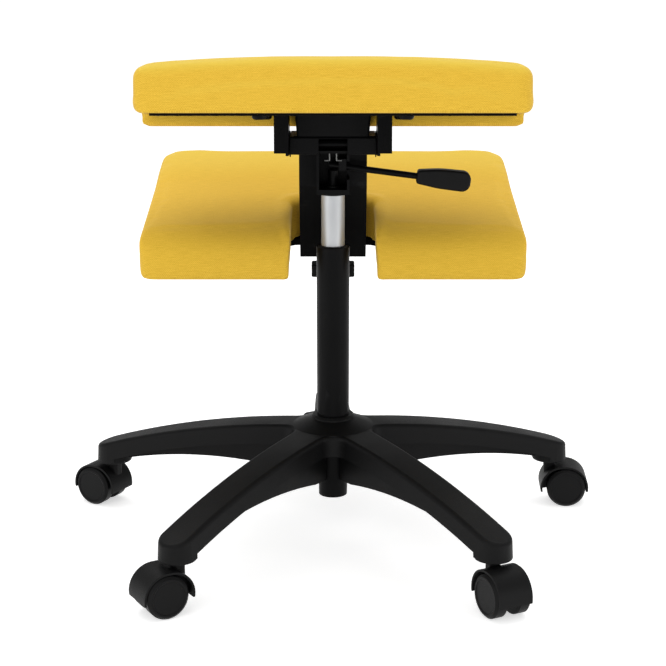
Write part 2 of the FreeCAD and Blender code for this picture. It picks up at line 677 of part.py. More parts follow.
def pivot_pin():
    """The cross pin that the seat's ears tilt on, with a domed head on the right."""
    head = pivot_reach() + PIVOT_HEAD
    crown = PIVOT_HEAD_RADIUS - PIVOT_HEAD / 2
    tail = -pivot_reach() - PIVOT_NUT - SHEET
    pairs = [(0, tail), (PIVOT_RADIUS - 1, tail), (PIVOT_RADIUS, tail + 1), (PIVOT_RADIUS, pivot_reach()),
             (PIVOT_HEAD_RADIUS, pivot_reach()), (PIVOT_HEAD_RADIUS, head - PIVOT_HEAD / 2),
             (crown, head), (0, head)]
    centre = vector(0, PIVOT_Y, PIVOT_Z)
    return turned([centre + vector(x, 0, r) for r, x in pairs], centre, X_AXIS)


def pivot_nut():
    """The six-sided nut on the left end of the pivot pin."""
    start = -pivot_reach()
    corners = [vector(start, PIVOT_Y + PIVOT_HEAD_RADIUS * math.cos(math.radians(60 * i)),
                      PIVOT_Z + PIVOT_HEAD_RADIUS * math.sin(math.radians(60 * i))) for i in range(6)]
    hexagon = prism(corners, [0] * 6, X_AXIS * -PIVOT_NUT)
    hole = rod(PIVOT_RADIUS + PRESS_GAP, vector(start, PIVOT_Y, PIVOT_Z),
               vector(start - PIVOT_NUT, PIVOT_Y, PIVOT_Z))
    return hexagon.cut(hole)


def pivot_washers():
    """The thin friction washers between the cross box and the seat's ears."""
    start = BOX_HALF_WIDTH + PRESS_GAP
    disc = rod(WASHER_RADIUS, vector(start, PIVOT_Y, PIVOT_Z), vector(start + WASHER, PIVOT_Y, PIVOT_Z))
    hole = rod(PIVOT_RADIUS + PRESS_GAP, vector(0, PIVOT_Y, PIVOT_Z), vector(THROUGH, PIVOT_Y, PIVOT_Z))
    right = disc.cut(hole)
    return Part.makeCompound([right, mirrored(right)])


def lever_point(x):
    """A point on the lever's centre line."""
    return vector(x, 0, LEVER_Z - math.tan(math.radians(LEVER_SLOPE)) * x)


def lever_rod():
    """The steel rod of the release lever, drilled for its fulcrum pin."""
    bar = rod(LEVER_RADIUS, lever_point(-LEVER_INNER),
              lever_point(GRIP_START + GRIP_SOCKET * math.cos(math.radians(LEVER_SLOPE))))
    hole = rod(FULCRUM_RADIUS + RUNNING_GAP, lever_point(FULCRUM_X) - Y_AXIS * THROUGH,
               lever_point(FULCRUM_X) + Y_AXIS * THROUGH)
    return bar.cut(hole)


def lever_grip():
    """The moulded paddle on the lever, which grows towards a rounded end."""
    half = GRIP_DEPTH / 2
    corners = [(0, -GRIP_ROOT_BELOW), (GRIP_FLARE, -GRIP_BELOW), (GRIP_LENGTH, -GRIP_BELOW),
               (GRIP_LENGTH, GRIP_END_ABOVE), (GRIP_FLARE, GRIP_FLARE_ABOVE), (0, GRIP_ROOT_ABOVE)]
    radii = [GRIP_ROOT_ROUND, GRIP_SWELL, GRIP_END_ROUND, GRIP_END_ROUND, GRIP_SWELL, GRIP_ROOT_ROUND]
    body = prism([vector(x, -half, z) for x, z in corners], radii, Y_AXIS * GRIP_DEPTH)
    rims = [e for e in body.Edges if e.BoundBox.YLength < half]
    body = body.makeFillet(GRIP_EDGE, rims)
    socket = rod(LEVER_RADIUS + PRESS_GAP, vector(-GRIP_SOCKET, 0, 0), vector(GRIP_SOCKET + BODY_GAP, 0, 0))
    grip = body.cut(socket)
    grip.rotate(ORIGIN, Y_AXIS, LEVER_SLOPE)
    grip.translate(lever_point(GRIP_START))
    return grip


def fulcrum_bracket():
    """Two small ears from the housing's back wall and cheek that hold the lever's fulcrum pin."""
    centre = lever_point(FULCRUM_X)
    near = LEVER_RADIUS + BODY_GAP
    half = FULCRUM_EAR_LENGTH
    back = ARM_REAR_Y - SHEET - PRESS_GAP
    base = block(centre.x - half, centre.x + half, back - FULCRUM_EAR, back,
                 centre.z - half, centre.z + FULCRUM_EAR_HEIGHT)
    roof_z = centre.z + LEVER_RADIUS * 2
    roof = block(centre.x - half, centre.x + half, -near - FULCRUM_EAR, back,
                 roof_z, roof_z + FULCRUM_EAR)
    ears = [block(centre.x - half, centre.x + half, y, y + FULCRUM_EAR, centre.z - half, roof_z)
            for y in (-near - FULCRUM_EAR, near)]
    hole = rod(FULCRUM_RADIUS + PRESS_GAP, centre - Y_AXIS * (near + FULCRUM_EAR),
               centre + Y_AXIS * (near + FULCRUM_EAR))
    return joined([base, roof] + ears).cut(hole)


def fulcrum_pin():
    """The pin that the lever rocks on."""
    centre = lever_point(FULCRUM_X)
    reach = LEVER_RADIUS + BODY_GAP + FULCRUM_EAR
    return rod(FULCRUM_RADIUS, centre - Y_AXIS * reach, centre + Y_AXIS * reach)


def lever_spring():
    """The bent wires that hang from the cross box over the lever's inner end."""
    radius = SPRING_WIRE / 2
    foot = vector(SPRING_HALF + SPRING_FOOT, SPRING_Y, SPRING_Z)
    bend = vector(SPRING_HALF, SPRING_Y, SPRING_Z)
    top = vector(SPRING_HALF, SPRING_Y, BOX_FLOOR_Z - PRESS_GAP)
    right = joined([rod(radius, foot, bend), rod(radius, bend, top), Part.makeSphere(radius, bend)])
    return Part.makeCompound([right, mirrored(right)])


def seat_outline(inset, z):
    """Plan outline of the seat, drawn in by a given amount: narrower at the back."""
    rear = SEAT_REAR_HALF - inset
    front = SEAT_FRONT_HALF - inset
    points = [vector(-rear, SEAT_REAR + inset, z), vector(rear, SEAT_REAR + inset, z),
              vector(front, SEAT_FRONT - inset, z), vector(-front, SEAT_FRONT - inset, z)]
    back = SEAT_REAR_CORNER - inset / 2
    ahead = SEAT_FRONT_CORNER - inset / 2
    return rounded_wire(points, [back, back, ahead, ahead])


def knee_outline(inset, z, slot_shift=0.0):
    """Plan outline of the knee rest, drawn in by a given amount, with its slot for the column."""
    rear = KNEE_REAR_HALF - inset
    front = KNEE_FRONT_HALF - inset
    back = KNEE_REAR + inset
    slot = KNEE_SLOT_HALF + inset
    end = KNEE_SLOT_END + inset - slot_shift
    points = [vector(-rear, back, z), vector(-slot, back, z), vector(-slot, end, z), vector(slot, end, z),
              vector(slot, back, z), vector(rear, back, z),
              vector(front, KNEE_FRONT - inset, z), vector(-front, KNEE_FRONT - inset, z)]
    corner = KNEE_REAR_CORNER - inset / 2
    ahead = KNEE_FRONT_CORNER - inset / 2
    mouth = KNEE_SLOT_MOUTH - inset / 4
    bend = KNEE_SLOT_CORNER + inset / 2
    return rounded_wire(points, [corner, mouth, bend, bend, mouth, corner, ahead, ahead])


def quarter_turns():
    """The angles at which a padded edge is drawn, over a quarter of a turn."""
    return [math.radians(90.0 * i / PAD_STEPS) for i in range(PAD_STEPS + 1)]


def pillow(outline, low, high):
    """A padded form whose sides are rounded in at the foot and over at the top."""
    foot = [(KNEE_FOOT_TUCK * (1 - math.sin(turn)), low + KNEE_FOOT_ROUND * (1 - math.cos(turn)))
            for turn in quarter_turns()]
    top = [(KNEE_TOP_TUCK * (1 - math.cos(turn)), high - KNEE_TOP_ROUND * (1 - math.sin(turn)))
           for turn in quarter_turns()]
    return Part.makeLoft([outline(inset, z) for inset, z in foot + top], True, True)


def crown_bar(half, flat, drop, radius, height, back, front):
    """A broad bar whose top falls away in a gentle curve towards both sides."""
    points = [vector(-half, back, -height), vector(half, back, -height), vector(half, back, height - drop),
              vector(flat, back, height), vector(-flat, back, height), vector(-half, back, height - drop)]
    return prism(points, [0, 0, 0, radius, radius, 0], Y_AXIS * (front - back))


def side_rims(shape, low, high):
    """Edges of a form's upright sides that lie wholly between two heights."""
    sides = []
    for face in shape.Faces:
        u0, u1, v0, v1 = face.ParameterRange
        if abs(face.normalAt((u0 + u1) / 2, (v0 + v1) / 2).z) < math.sin(math.radians(1)):
            sides.append(face)
    return [e for f in sides for e in f.Edges if e.BoundBox.ZMin > low and e.BoundBox.ZMax < high]


def seat_pad():
    """The seat's crowned pad with its top and bottom edges rounded."""
    pad = Part.Face(seat_outline(0, SEAT_EDGE)).extrude(Z_AXIS * (SEAT_HEIGHT - SEAT_EDGE))
    pad = pad.common(crown_bar(SEAT_FRONT_HALF, SEAT_CROWN_FLAT, SEAT_CROWN_DROP, SEAT_CROWN_RADIUS,
                               SEAT_HEIGHT, SEAT_REAR, SEAT_FRONT))
    pad = pad.makeFillet(SEAT_TOP_ROUND, side_rims(pad, SEAT_HEIGHT / 2, SEAT_HEIGHT + SEAT_EDGE))
    return pad.makeFillet(SEAT_FOOT_ROUND, side_rims(pad, 0, SEAT_HEIGHT / 2))


def seat_lip():
    """The padded lip that hangs below the front of the seat."""
    back = SEAT_FRONT - SEAT_LIP_DEPTH
    high = SEAT_HEIGHT / 2
    wide = SEAT_FRONT_HALF
    narrow = wide - SEAT_LIP_SIDE
    drop = prism([vector(-wide, back, high), vector(-wide, back, -SEAT_LIP),
                  vector(-wide, SEAT_FRONT, -SEAT_LIP),
                  vector(-wide, SEAT_FRONT, high)], [0, SEAT_LIP_ROUND, SEAT_LIP_ROUND, 0],
                  X_AXIS * wide * 2)
    face = prism([vector(-narrow, back, high), vector(-narrow, back, -SEAT_LIP),
                  vector(narrow, back, -SEAT_LIP),
                  vector(narrow, back, high)], [0, SEAT_LIP_ROUND, SEAT_LIP_ROUND, 0],
                  Y_AXIS * SEAT_LIP_DEPTH)
    plan = Part.Face(seat_outline(SEAT_LIP_INSET, -SEAT_LIP)).extrude(Z_AXIS * (SEAT_LIP + high))
    return drop.common(face).common(plan)


def seat_cushion():
    """The upholstered seat: a crowned pad with a front lip, hollow below for its board."""
    pad = joined([seat_pad(), seat_lip()])
    recess = Part.Face(seat_outline(SEAT_BOARD_MARGIN - BODY_GAP,
                                    0)).extrude(Z_AXIS * (SEAT_BOARD + BODY_GAP))
    front_stop = block(-THROUGH, THROUGH, SEAT_FRONT - SEAT_LIP_DEPTH - BODY_GAP, THROUGH, -SEAT_LIP,
                       SEAT_BOARD * 2)
    return on_seat(pad.cut(recess.cut(front_stop)))


def seat_board():
    """The plywood board that the seat is upholstered over."""
    board = Part.Face(seat_outline(SEAT_BOARD_MARGIN, 0)).extrude(Z_AXIS * SEAT_BOARD)
    front_stop = block(-THROUGH, THROUGH, SEAT_FRONT - SEAT_LIP_DEPTH - BODY_GAP * 2, THROUGH, 0,
                       SEAT_BOARD)
    holes = [rod(RAIL_BOLT_RADIUS + PRESS_GAP, p, p + Z_AXIS * RAIL_BOLT_GRIP) for p in rail_bolt_points()]
    pocket = block(EAR_INNER - PRESS_GAP, EAR_INNER + RAIL_WIDTH + PRESS_GAP, RAIL_REAR - PRESS_GAP,
                   EAR_FRONT + PRESS_GAP, 0, SHEET + PRESS_GAP)
    return on_seat(board.cut([front_stop, pocket, mirrored(pocket)] + holes))


def rail_bolt_points():
    """Places of the bolts that hold the two brackets under the board."""
    first = EAR_FRONT - RAIL_BOLT_HEAD * 2
    return [vector(x, first - RAIL_BOLT_PITCH * i, 0) for x in (-RAIL_BOLT_X, RAIL_BOLT_X)
            for i in range(3)]


def seat_bracket():
    """One folded bracket: a rail let into the board, an ear on the pivot pin and a stiffening flange."""
    outer = EAR_INNER + SHEET
    rail = block(EAR_INNER, EAR_INNER + RAIL_WIDTH, RAIL_REAR, EAR_FRONT, 0, SHEET)
    ends = [e for e in rail.Edges if abs(e.Length - SHEET) < BODY_GAP and e.CenterOfMass.x > outer]
    rail = rail.makeFillet(ARM_CORNER, ends)
    ear = prism([vector(EAR_INNER, EAR_REAR, SHEET), vector(EAR_INNER, EAR_REAR, -EAR_DROP),
                 vector(EAR_INNER, EAR_FRONT, -EAR_DROP), vector(EAR_INNER, EAR_FRONT, SHEET)],
                [0, SHEET, ARM_CORNER, 0], X_AXIS * SHEET)
    flange = block(EAR_INNER, outer + EAR_FLANGE, EAR_REAR, EAR_REAR + SHEET, -EAR_DROP + SHEET, SHEET)
    bolts = [rod(RAIL_BOLT_RADIUS + PRESS_GAP, p, p + Z_AXIS * SHEET) for p in rail_bolt_points()]
    hole = rod(PIVOT_RADIUS + RUNNING_GAP, vector(0, PIVOT_Y, PIVOT_Z), vector(THROUGH, PIVOT_Y, PIVOT_Z))
    return on_seat(joined([rail, ear, flange]).cut(bolts)).cut(hole)


def seat_bolts():
    """The dome-headed bolts that hold the brackets to the board."""
    crown = RAIL_BOLT_HEAD_HEIGHT / 2
    bolts = []
    for p in rail_bolt_points():
        under = -PRESS_GAP
        profile = [(0, RAIL_BOLT_GRIP - BODY_GAP), (RAIL_BOLT_RADIUS, RAIL_BOLT_GRIP - BODY_GAP),
                   (RAIL_BOLT_RADIUS, under), (RAIL_BOLT_HEAD, under), (RAIL_BOLT_HEAD, under - crown / 2),
                   (RAIL_BOLT_HEAD - crown, under - crown * 1.5),
                   (RAIL_BOLT_HEAD - crown * 2, under - crown * 2),
                   (0, under - crown * 2)]
        bolts.append(turned_z(profile).translated(p))
    return on_seat(Part.makeCompound(bolts))


def seat_buffer():
    """The rubber wedge between the board and the cross box, level below and a little narrower there."""
    top = [vector(-BUFFER_HALF_WIDTH, BUFFER_REAR, 0), vector(BUFFER_HALF_WIDTH, BUFFER_REAR, 0),
           vector(BUFFER_HALF_WIDTH, BUFFER_REAR + BUFFER_DEPTH, 0),
           vector(-BUFFER_HALF_WIDTH, BUFFER_REAR + BUFFER_DEPTH, 0)]
    low = [p - vector(math.copysign(BUFFER_TAPER, p.x), 0, BUFFER_HEIGHT) for p in top]
    wires = [rounded_wire(points, [SHEET] * 4) for points in (top, low)]
    below = block(-THROUGH, THROUGH, -THROUGH, THROUGH, 0, BOX_TOP_Z + BUFFER_GAP)
    return on_seat(Part.makeLoft(wires, True, True)).cut(below)


def knee_cushion():
    """The upholstered knee rest: a crowned pad with a deep slot and a broad roll along its back."""
    pad = pillow(knee_outline, 0.0, KNEE_HEIGHT)
    pad = pad.common(crown_bar(KNEE_REAR_HALF, KNEE_CROWN_FLAT, KNEE_CROWN_DROP, KNEE_CROWN_RADIUS,
                               KNEE_HEIGHT, KNEE_REAR, KNEE_FRONT))
    wide = KNEE_REAR_HALF
    roll = prism([vector(-wide, KNEE_REAR, -KNEE_BOARD), vector(-wide, KNEE_FRONT, -KNEE_BOARD),
                  vector(-wide, KNEE_FRONT, KNEE_HEIGHT), vector(-wide, KNEE_REAR, KNEE_HEIGHT)],
                 [0, 0, 0, KNEE_REAR_ROUND], X_AXIS * wide * 2)
    recess = knee_board_blank(KNEE_BOARD_MARGIN - BODY_GAP, KNEE_BOARD + BODY_GAP)
    return on_knee(pad.common(roll).cut(recess))


def knee_board_blank(margin, height):
    """The knee board's plan, with a ledge that shows at the slot's end, raised to a height."""
    wire = knee_outline(margin, 0, KNEE_BOARD_MARGIN + KNEE_BOARD_LEDGE)
    return Part.Face(wire).extrude(Z_AXIS * height)


def knee_board():
    """The board that the knee rest is upholstered over, which shows at the end of the slot."""
    holes = [rod(KNEE_SCREW_RADIUS + PRESS_GAP, p, p + Z_AXIS * KNEE_SCREW_GRIP)
             for p in knee_screw_points()]
    stud = rod(STUD_RADIUS * 2, vector(0, STUD_Y, 0), vector(0, STUD_Y, STUD_RADIUS))
    return on_knee(knee_board_blank(KNEE_BOARD_MARGIN, KNEE_BOARD).cut(holes + [stud]))


def knee_screw_points():
    """Places of the screws that hold the sliding plate under the knee board."""
    near = KNEE_PLATE_REAR + KNEE_SCREW_INSET
    far = KNEE_PLATE_REAR + KNEE_PLATE_LENGTH - KNEE_SCREW_INSET
    side = KNEE_PLATE_HALF - KNEE_SCREW_INSET
    return [vector(x, y, 0) for x in (-side, side) for y in (near, far)]


def knee_plate():
    """The steel plate under the knee board that slides on the arm's foot."""
    far = KNEE_PLATE_REAR + KNEE_PLATE_LENGTH
    plate = prism([vector(-KNEE_PLATE_HALF, KNEE_PLATE_REAR, -SHEET),
                   vector(KNEE_PLATE_HALF, KNEE_PLATE_REAR, -SHEET),
                   vector(KNEE_PLATE_HALF, far, -SHEET), vector(-KNEE_PLATE_HALF, far, -SHEET)],
                  [ARM_CORNER] * 4, Z_AXIS * SHEET)
    holes = [rod(KNEE_SCREW_RADIUS + PRESS_GAP, p - Z_AXIS * SHEET, p) for p in knee_screw_points()]
    stud = rod(STUD_RADIUS + PRESS_GAP, vector(0, STUD_Y, -SHEET), vector(0, STUD_Y, 0))
    return on_knee(plate.cut(holes + [stud]))


def knee_screws():
    """Countersunk screws that hold the sliding plate to the board."""
    screws = [rod(KNEE_SCREW_RADIUS, p - Z_AXIS * SHEET, p + Z_AXIS * (KNEE_SCREW_GRIP - BODY_GAP))
              for p in knee_screw_points()]
    return on_knee(Part.makeCompound(screws))


def handle_top():
    """Height of the top of the clamp handle's neck in the knee rest's layout."""
    return -SHEET * 2 - BODY_GAP * 2


def clamp_stud():
    """The stud that hangs from the sliding plate through the foot's slot into the clamp handle."""
    head = rod(STUD_RADIUS * 2 - PRESS_GAP, vector(0, STUD_Y, PRESS_GAP),
               vector(0, STUD_Y, STUD_RADIUS - PRESS_GAP))
    shank = rod(STUD_RADIUS, vector(0, STUD_Y, handle_top() - HANDLE_NECK), vector(0, STUD_Y, PRESS_GAP))
    return on_knee(joined([head, shank]))


def clamp_handle():
    """The cross-bar handle that clamps the knee rest on the foot."""
    top = handle_top()
    low = top - HANDLE_NECK - HANDLE_HEIGHT
    y = HANDLE_DEPTH / 2
    bar = block(-HANDLE_HALF, HANDLE_HALF, STUD_Y - y, STUD_Y + y, low, low + HANDLE_HEIGHT)
    bar = bar.makeChamfer(HANDLE_BEVEL, bar.Edges)
    neck = Part.makeCone(HANDLE_DEPTH / 2, HANDLE_NECK_RADIUS, HANDLE_NECK + SHEET,
                         vector(0, STUD_Y, low + HANDLE_HEIGHT - SHEET), Z_AXIS)
    hole = rod(STUD_RADIUS + RUNNING_GAP, vector(0, STUD_Y, top - HANDLE_NECK - BODY_GAP),
               vector(0, STUD_Y, top))
    return on_knee(joined([bar, neck]).cut(hole))


def hood_drum(radius, half):
    """A drum round the axle, drawn out towards the stem into the hood's nose."""
    return joined([rod(radius, vector(-half, y, 0), vector(half, y, 0)) for y in (0, HOOD_NOSE)])


def caster_hood():
    """A caster's hood with its middle web and the neck that takes the stem."""
    half = HOOD_WIDTH / 2
    drop = math.radians(HOOD_DROP_ANGLE)
    outer = hood_drum(HOOD_OUTER, half)
    inner = hood_drum(HOOD_INNER, half)
    web = hood_drum(HOOD_OUTER, CASTER_WEB / 2)
    reach = HOOD_OUTER * 2
    below = prism([vector(-half, 0, 0), vector(-half, -reach * math.cos(drop), -reach * math.sin(drop)),
                   vector(-half, -reach, -reach * 2), vector(-half, reach, -reach * 2),
                   vector(-half, reach * math.cos(drop), -reach * math.sin(drop))], [0] * 5,
                   X_AXIS * HOOD_WIDTH)
    cheek = rod(CASTER_CHEEK_RADIUS, vector(-CASTER_WEB / 2, 0, 0), vector(CASTER_WEB / 2, 0, 0))
    top = SOCKET_FACE_Z - NECK_GAP - WHEEL_RADIUS
    neck = prism([vector(-CASTER_WEB / 2, CASTER_TRAIL - NECK_LENGTH / 2, 0),
                  vector(CASTER_WEB / 2, CASTER_TRAIL - NECK_LENGTH / 2, 0),
                  vector(CASTER_WEB / 2, CASTER_TRAIL + NECK_LENGTH / 2, 0),
                  vector(-CASTER_WEB / 2, CASTER_TRAIL + NECK_LENGTH / 2, 0)],
                 [CASTER_WEB / 4] * 4, Z_AXIS * top)
    hood = joined([outer.cut(inner).cut(below), web.cut(below), cheek, neck])
    stem = rod(STEM_RADIUS + PRESS_GAP, vector(0, CASTER_TRAIL, stem_top() - STEM_LENGTH - WHEEL_RADIUS),
               vector(0, CASTER_TRAIL, THROUGH))
    axle = rod(AXLE_RADIUS + PRESS_GAP, vector(-half, 0, 0), vector(half, 0, 0))
    return hood.cut([stem, axle])


def caster_stem():
    """A caster's steel stem, with a bevelled tip."""
    top = stem_top() - WHEEL_RADIUS
    tip = STEM_RADIUS - 1
    stem = turned_z([(0, top - STEM_LENGTH), (STEM_RADIUS, top - STEM_LENGTH), (STEM_RADIUS, top - tip / 2),
                     (tip, top), (0, top)])
    return stem.translated(Y_AXIS * CASTER_TRAIL)


def axle_reach():
    """Half the length of a caster's axle."""
    return WHEEL_OUTER_X - WHEEL_FACE_WALL - BODY_GAP


def caster_axle():
    """A caster's axle, pressed in the web, with a wheel on each end."""
    return rod(AXLE_RADIUS, vector(-axle_reach(), 0, 0), vector(axle_reach(), 0, 0))


def caster_wheel():
    """A wheel with a bevelled rim round a plain disc, bored from its inner side."""
    bore = AXLE_RADIUS + RUNNING_GAP
    rim = WHEEL_OUTER_X - WHEEL_BEVEL
    disc = WHEEL_OUTER_X - WHEEL_DISC_DEPTH
    bottom = axle_reach() + BODY_GAP
    pairs = [(bore, WHEEL_INNER_X), (WHEEL_RADIUS - 1, WHEEL_INNER_X), (WHEEL_RADIUS, WHEEL_INNER_X + 1),
             (WHEEL_RADIUS, rim), (WHEEL_RADIUS - WHEEL_BEVEL, WHEEL_OUTER_X),
             (WHEEL_DISC_RADIUS + WHEEL_DISC_DEPTH, WHEEL_OUTER_X), (WHEEL_DISC_RADIUS, disc), (0, disc),
             (0, bottom), (bore, bottom)]
    return turned([vector(x, 0, r) for r, x in pairs], ORIGIN, X_AXIS)


def place_caster(shape, index):
    """A caster's piece set under its arm and turned to its heading at rest."""
    moved = shape.translated(vector(0, -CASTER_TRAIL, WHEEL_RADIUS))
    moved.rotate(ORIGIN, Z_AXIS, TRAIL_HEADINGS[index] + 90)
    return moved.translated(polar(SOCKET_CIRCLE_RADIUS, arm_angles()[index], 0))


def casters():
    """Every caster's pieces, by name."""
    wheel = caster_wheel()
    kinds = {"hood": caster_hood(), "stem": caster_stem(), "axle": caster_axle(),
             "wheel_right": wheel, "wheel_left": mirrored(wheel)}
    return {f"caster_{i + 1}_{kind}": place_caster(shape, i)
            for i in range(ARM_COUNT) for kind, shape in kinds.items()}


def all_parts():
    """Every piece of the chair, by name."""
    bracket = seat_bracket()
    pieces = {
        "base_star": base_star(),
        "column_tube": column_tube(),
        "column_bush": column_bush(),
        "piston_rod": piston_rod(),
        "piston_head": piston_head(),
        "thrust_bearing": thrust_bearing(),
        "column_clip": column_clip(),
        "gas_cylinder": gas_cylinder(),
        "valve_button": valve_button(),
        "lift_housing": lift_housing(),
        "cross_box": cross_box(),
        "knee_arm": knee_arm(),
        "pivot_pin": pivot_pin(),
        "pivot_nut": pivot_nut(),
        "pivot_washers": pivot_washers(),
        "lever_rod": lever_rod(),
        "lever_grip": lever_grip(),
        "fulcrum_bracket": fulcrum_bracket(),
        "fulcrum_pin": fulcrum_pin(),
        "lever_spring": lever_spring(),
        "seat_cushion": seat_cushion(),
        "seat_board": seat_board(),
        "seat_bracket_right": bracket,
        "seat_bracket_left": mirrored(bracket),
        "seat_bolts": seat_bolts(),
        "seat_buffer": seat_buffer(),
        "knee_cushion": knee_cushion(),
        "knee_board": knee_board(),
        "knee_plate": knee_plate(),
        "knee_screws": knee_screws(),
        "clamp_stud": clamp_stud(),
        "clamp_handle": clamp_handle(),
    }
    pieces.update(casters())
    return pieces


os.makedirs("parts", exist_ok=True)
for name, shape in all_parts().items():
    shape.exportStep(f"parts/{name}.step")
    box = shape.BoundBox
    print(f"{name}: {len(shape.Solids)} solid(s), {shape.Volume:.0f} mm3, valid {shape.isValid()}, "
          f"z {box.ZMin:.1f} to {box.ZMax:.1f}")
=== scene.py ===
"""Looks of a kneeling chair: its upholstery, finishes, small hardware, light and camera."""

import json
import logging
import math
from collections.abc import Callable
from dataclasses import dataclass
from enum import Enum

import bpy
from mathutils import Matrix, Vector


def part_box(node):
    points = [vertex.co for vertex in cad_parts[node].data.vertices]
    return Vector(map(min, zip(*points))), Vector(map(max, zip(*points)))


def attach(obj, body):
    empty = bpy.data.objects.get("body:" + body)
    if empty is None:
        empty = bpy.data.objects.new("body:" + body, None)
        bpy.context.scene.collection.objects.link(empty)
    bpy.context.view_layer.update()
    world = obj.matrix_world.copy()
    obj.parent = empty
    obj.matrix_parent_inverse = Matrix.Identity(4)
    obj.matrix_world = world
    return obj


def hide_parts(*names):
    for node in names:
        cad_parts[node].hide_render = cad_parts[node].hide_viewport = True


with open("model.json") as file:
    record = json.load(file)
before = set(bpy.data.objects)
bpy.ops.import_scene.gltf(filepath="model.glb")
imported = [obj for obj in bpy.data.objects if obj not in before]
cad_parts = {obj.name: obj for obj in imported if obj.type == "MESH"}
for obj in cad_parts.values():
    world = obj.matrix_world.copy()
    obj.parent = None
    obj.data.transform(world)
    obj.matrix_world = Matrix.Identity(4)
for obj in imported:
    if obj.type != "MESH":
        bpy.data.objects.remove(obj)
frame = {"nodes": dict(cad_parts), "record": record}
log = logging.getLogger("kneeling_chair")


class Body(Enum):
    """Moving groups of the chair that a piece can ride on."""

    CARRIAGE = "carriage"
    SEAT = "seat"
    KNEE_REST = "knee_rest"


class Slot(Enum):
    """Finish names in the chair's record."""

    YELLOW_FABRIC = "yellow_fabric"
    BLACK_STEEL = "black_steel"


# Layout of the cushions


@dataclass(frozen=True)
class BoardPlane:
    """Underside of a cushion's board: its height on the column's axis, in metres, and its tilt in degrees."""

    height: float
    tilt: float

    def laid_flat(self, direction: Vector) -> Vector:
        """A direction turned back to the board's flat layout."""
        return Matrix.Rotation(math.radians(-self.tilt), 3, "X") @ direction

    def layout(self, point: Vector) -> Vector:
        """A point in the board's flat layout, from its underside."""
        return self.laid_flat(point - Vector((0.0, 0.0, self.height)))

    def spot(self, point: tuple) -> Matrix:
        """Turn and place of a spot on the board.

        Args:
            point: X, Y and height of the spot in the board's flat layout, in metres.

        Returns:
            Matrix that carries a shape from the origin to that spot.
        """
        lean = Matrix.Rotation(math.radians(self.tilt), 4, "X")
        return Matrix.Translation((0.0, 0.0, self.height)) @ lean @ Matrix.Translation(point)


SEAT_BOARD = BoardPlane(height=0.5201, tilt=-7.4)
KNEE_BOARD = BoardPlane(height=0.3286, tilt=10.7)

# Rows of staples in each board's flat layout, from corner to corner
SEAT_STAPLE_CORNERS = ((-0.207, 0.0), (-0.179, -0.262), (0.179, -0.262), (0.207, 0.0))
KNEE_STAPLE_CORNERS = ((-0.075, 0.0), (-0.205, 0.0), (-0.205, 0.262), (0.205, 0.262), (0.205, 0.0),
                       (0.075, 0.0))

# Seams between the housing and the cross box
WELD_SIDE = 0.0200
WELD_BEHIND = -0.021
WELD_AHEAD = 0.019
WELD_HEIGHT = 0.4776


def ramp(value: float, start: float, end: float) -> float:
    """Smooth step from 0 at the start to 1 at the end."""
    share = min(1.0, max(0.0, (value - start) / (end - start)))
    return share * share * (3.0 - 2.0 * share)


def between(first: float, second: float) -> float:
    """How squarely a rounded edge faces between two ways: 1 midway, 0 at either of them.

    Args:
        first: How far it faces the one way, from 0 to 1.
        second: How far it faces the other way, from 0 to 1.

    Returns:
        Share from 0 to 1.
    """
    return (2.0 * first * second) ** 1.5


@dataclass(frozen=True)
class SeatEdges:
    """Where the seat's cover is tight: along its lower rim at the back. Lengths are in metres."""

    rim_reach: float = 0.0020
    rim_behind: float = -0.25

    def reach(self, spot: Vector, facing: Vector) -> float:
        """How far the cover is drawn out along its normal.

        Args:
            spot: Point in the seat's flat layout.
            facing: The way the cover faces there, in the same layout.

        Returns:
            Distance in metres.
        """
        if spot.y >= self.rim_behind:
            return 0.0
        return self.rim_reach * between(max(-facing.y, 0.0), max(-facing.z, 0.0))


@dataclass(frozen=True)
class KneeEdges:
    """Where the knee pad's cover is tight: at its slot and its far end. Lengths are in metres."""

    far: tuple = (0.15, 0.22)
    far_reach: float = 0.0018
    corner: tuple = (0.13, 0.19)
    corner_reach: float = 0.0012
    slot_reach: float = 0.0070
    mouth_reach: float = 0.0045
    slot_side: float = 0.080
    slot_ahead: float = 0.125
    slot_end_side: float = 0.060
    slot_end_behind: float = 0.080

    def reach(self, spot: Vector, facing: Vector) -> float:
        """How far the cover is drawn out along its normal.

        Args:
            spot: Point in the pad's flat layout.
            facing: The way the cover faces there, in the same layout.

        Returns:
            Distance in metres.
        """
        off_middle = abs(spot.x)
        up = max(facing.z, 0.0)
        behind = max(-facing.y, 0.0)
        slotwards = max(-math.copysign(1.0, spot.x) * facing.x, 0.0)
        lift = self.far_reach + self.corner_reach * ramp(off_middle, *self.corner)
        reach = up * ramp(spot.y, *self.far) * lift
        if off_middle < self.slot_side and spot.y < self.slot_ahead:
            reach += self.slot_reach * between(slotwards, up)
            reach += self.mouth_reach * between(slotwards, behind)
        if off_middle < self.slot_end_side and spot.y > self.slot_end_behind:
            reach += self.slot_reach * between(behind, up)
        return reach


# Shader building


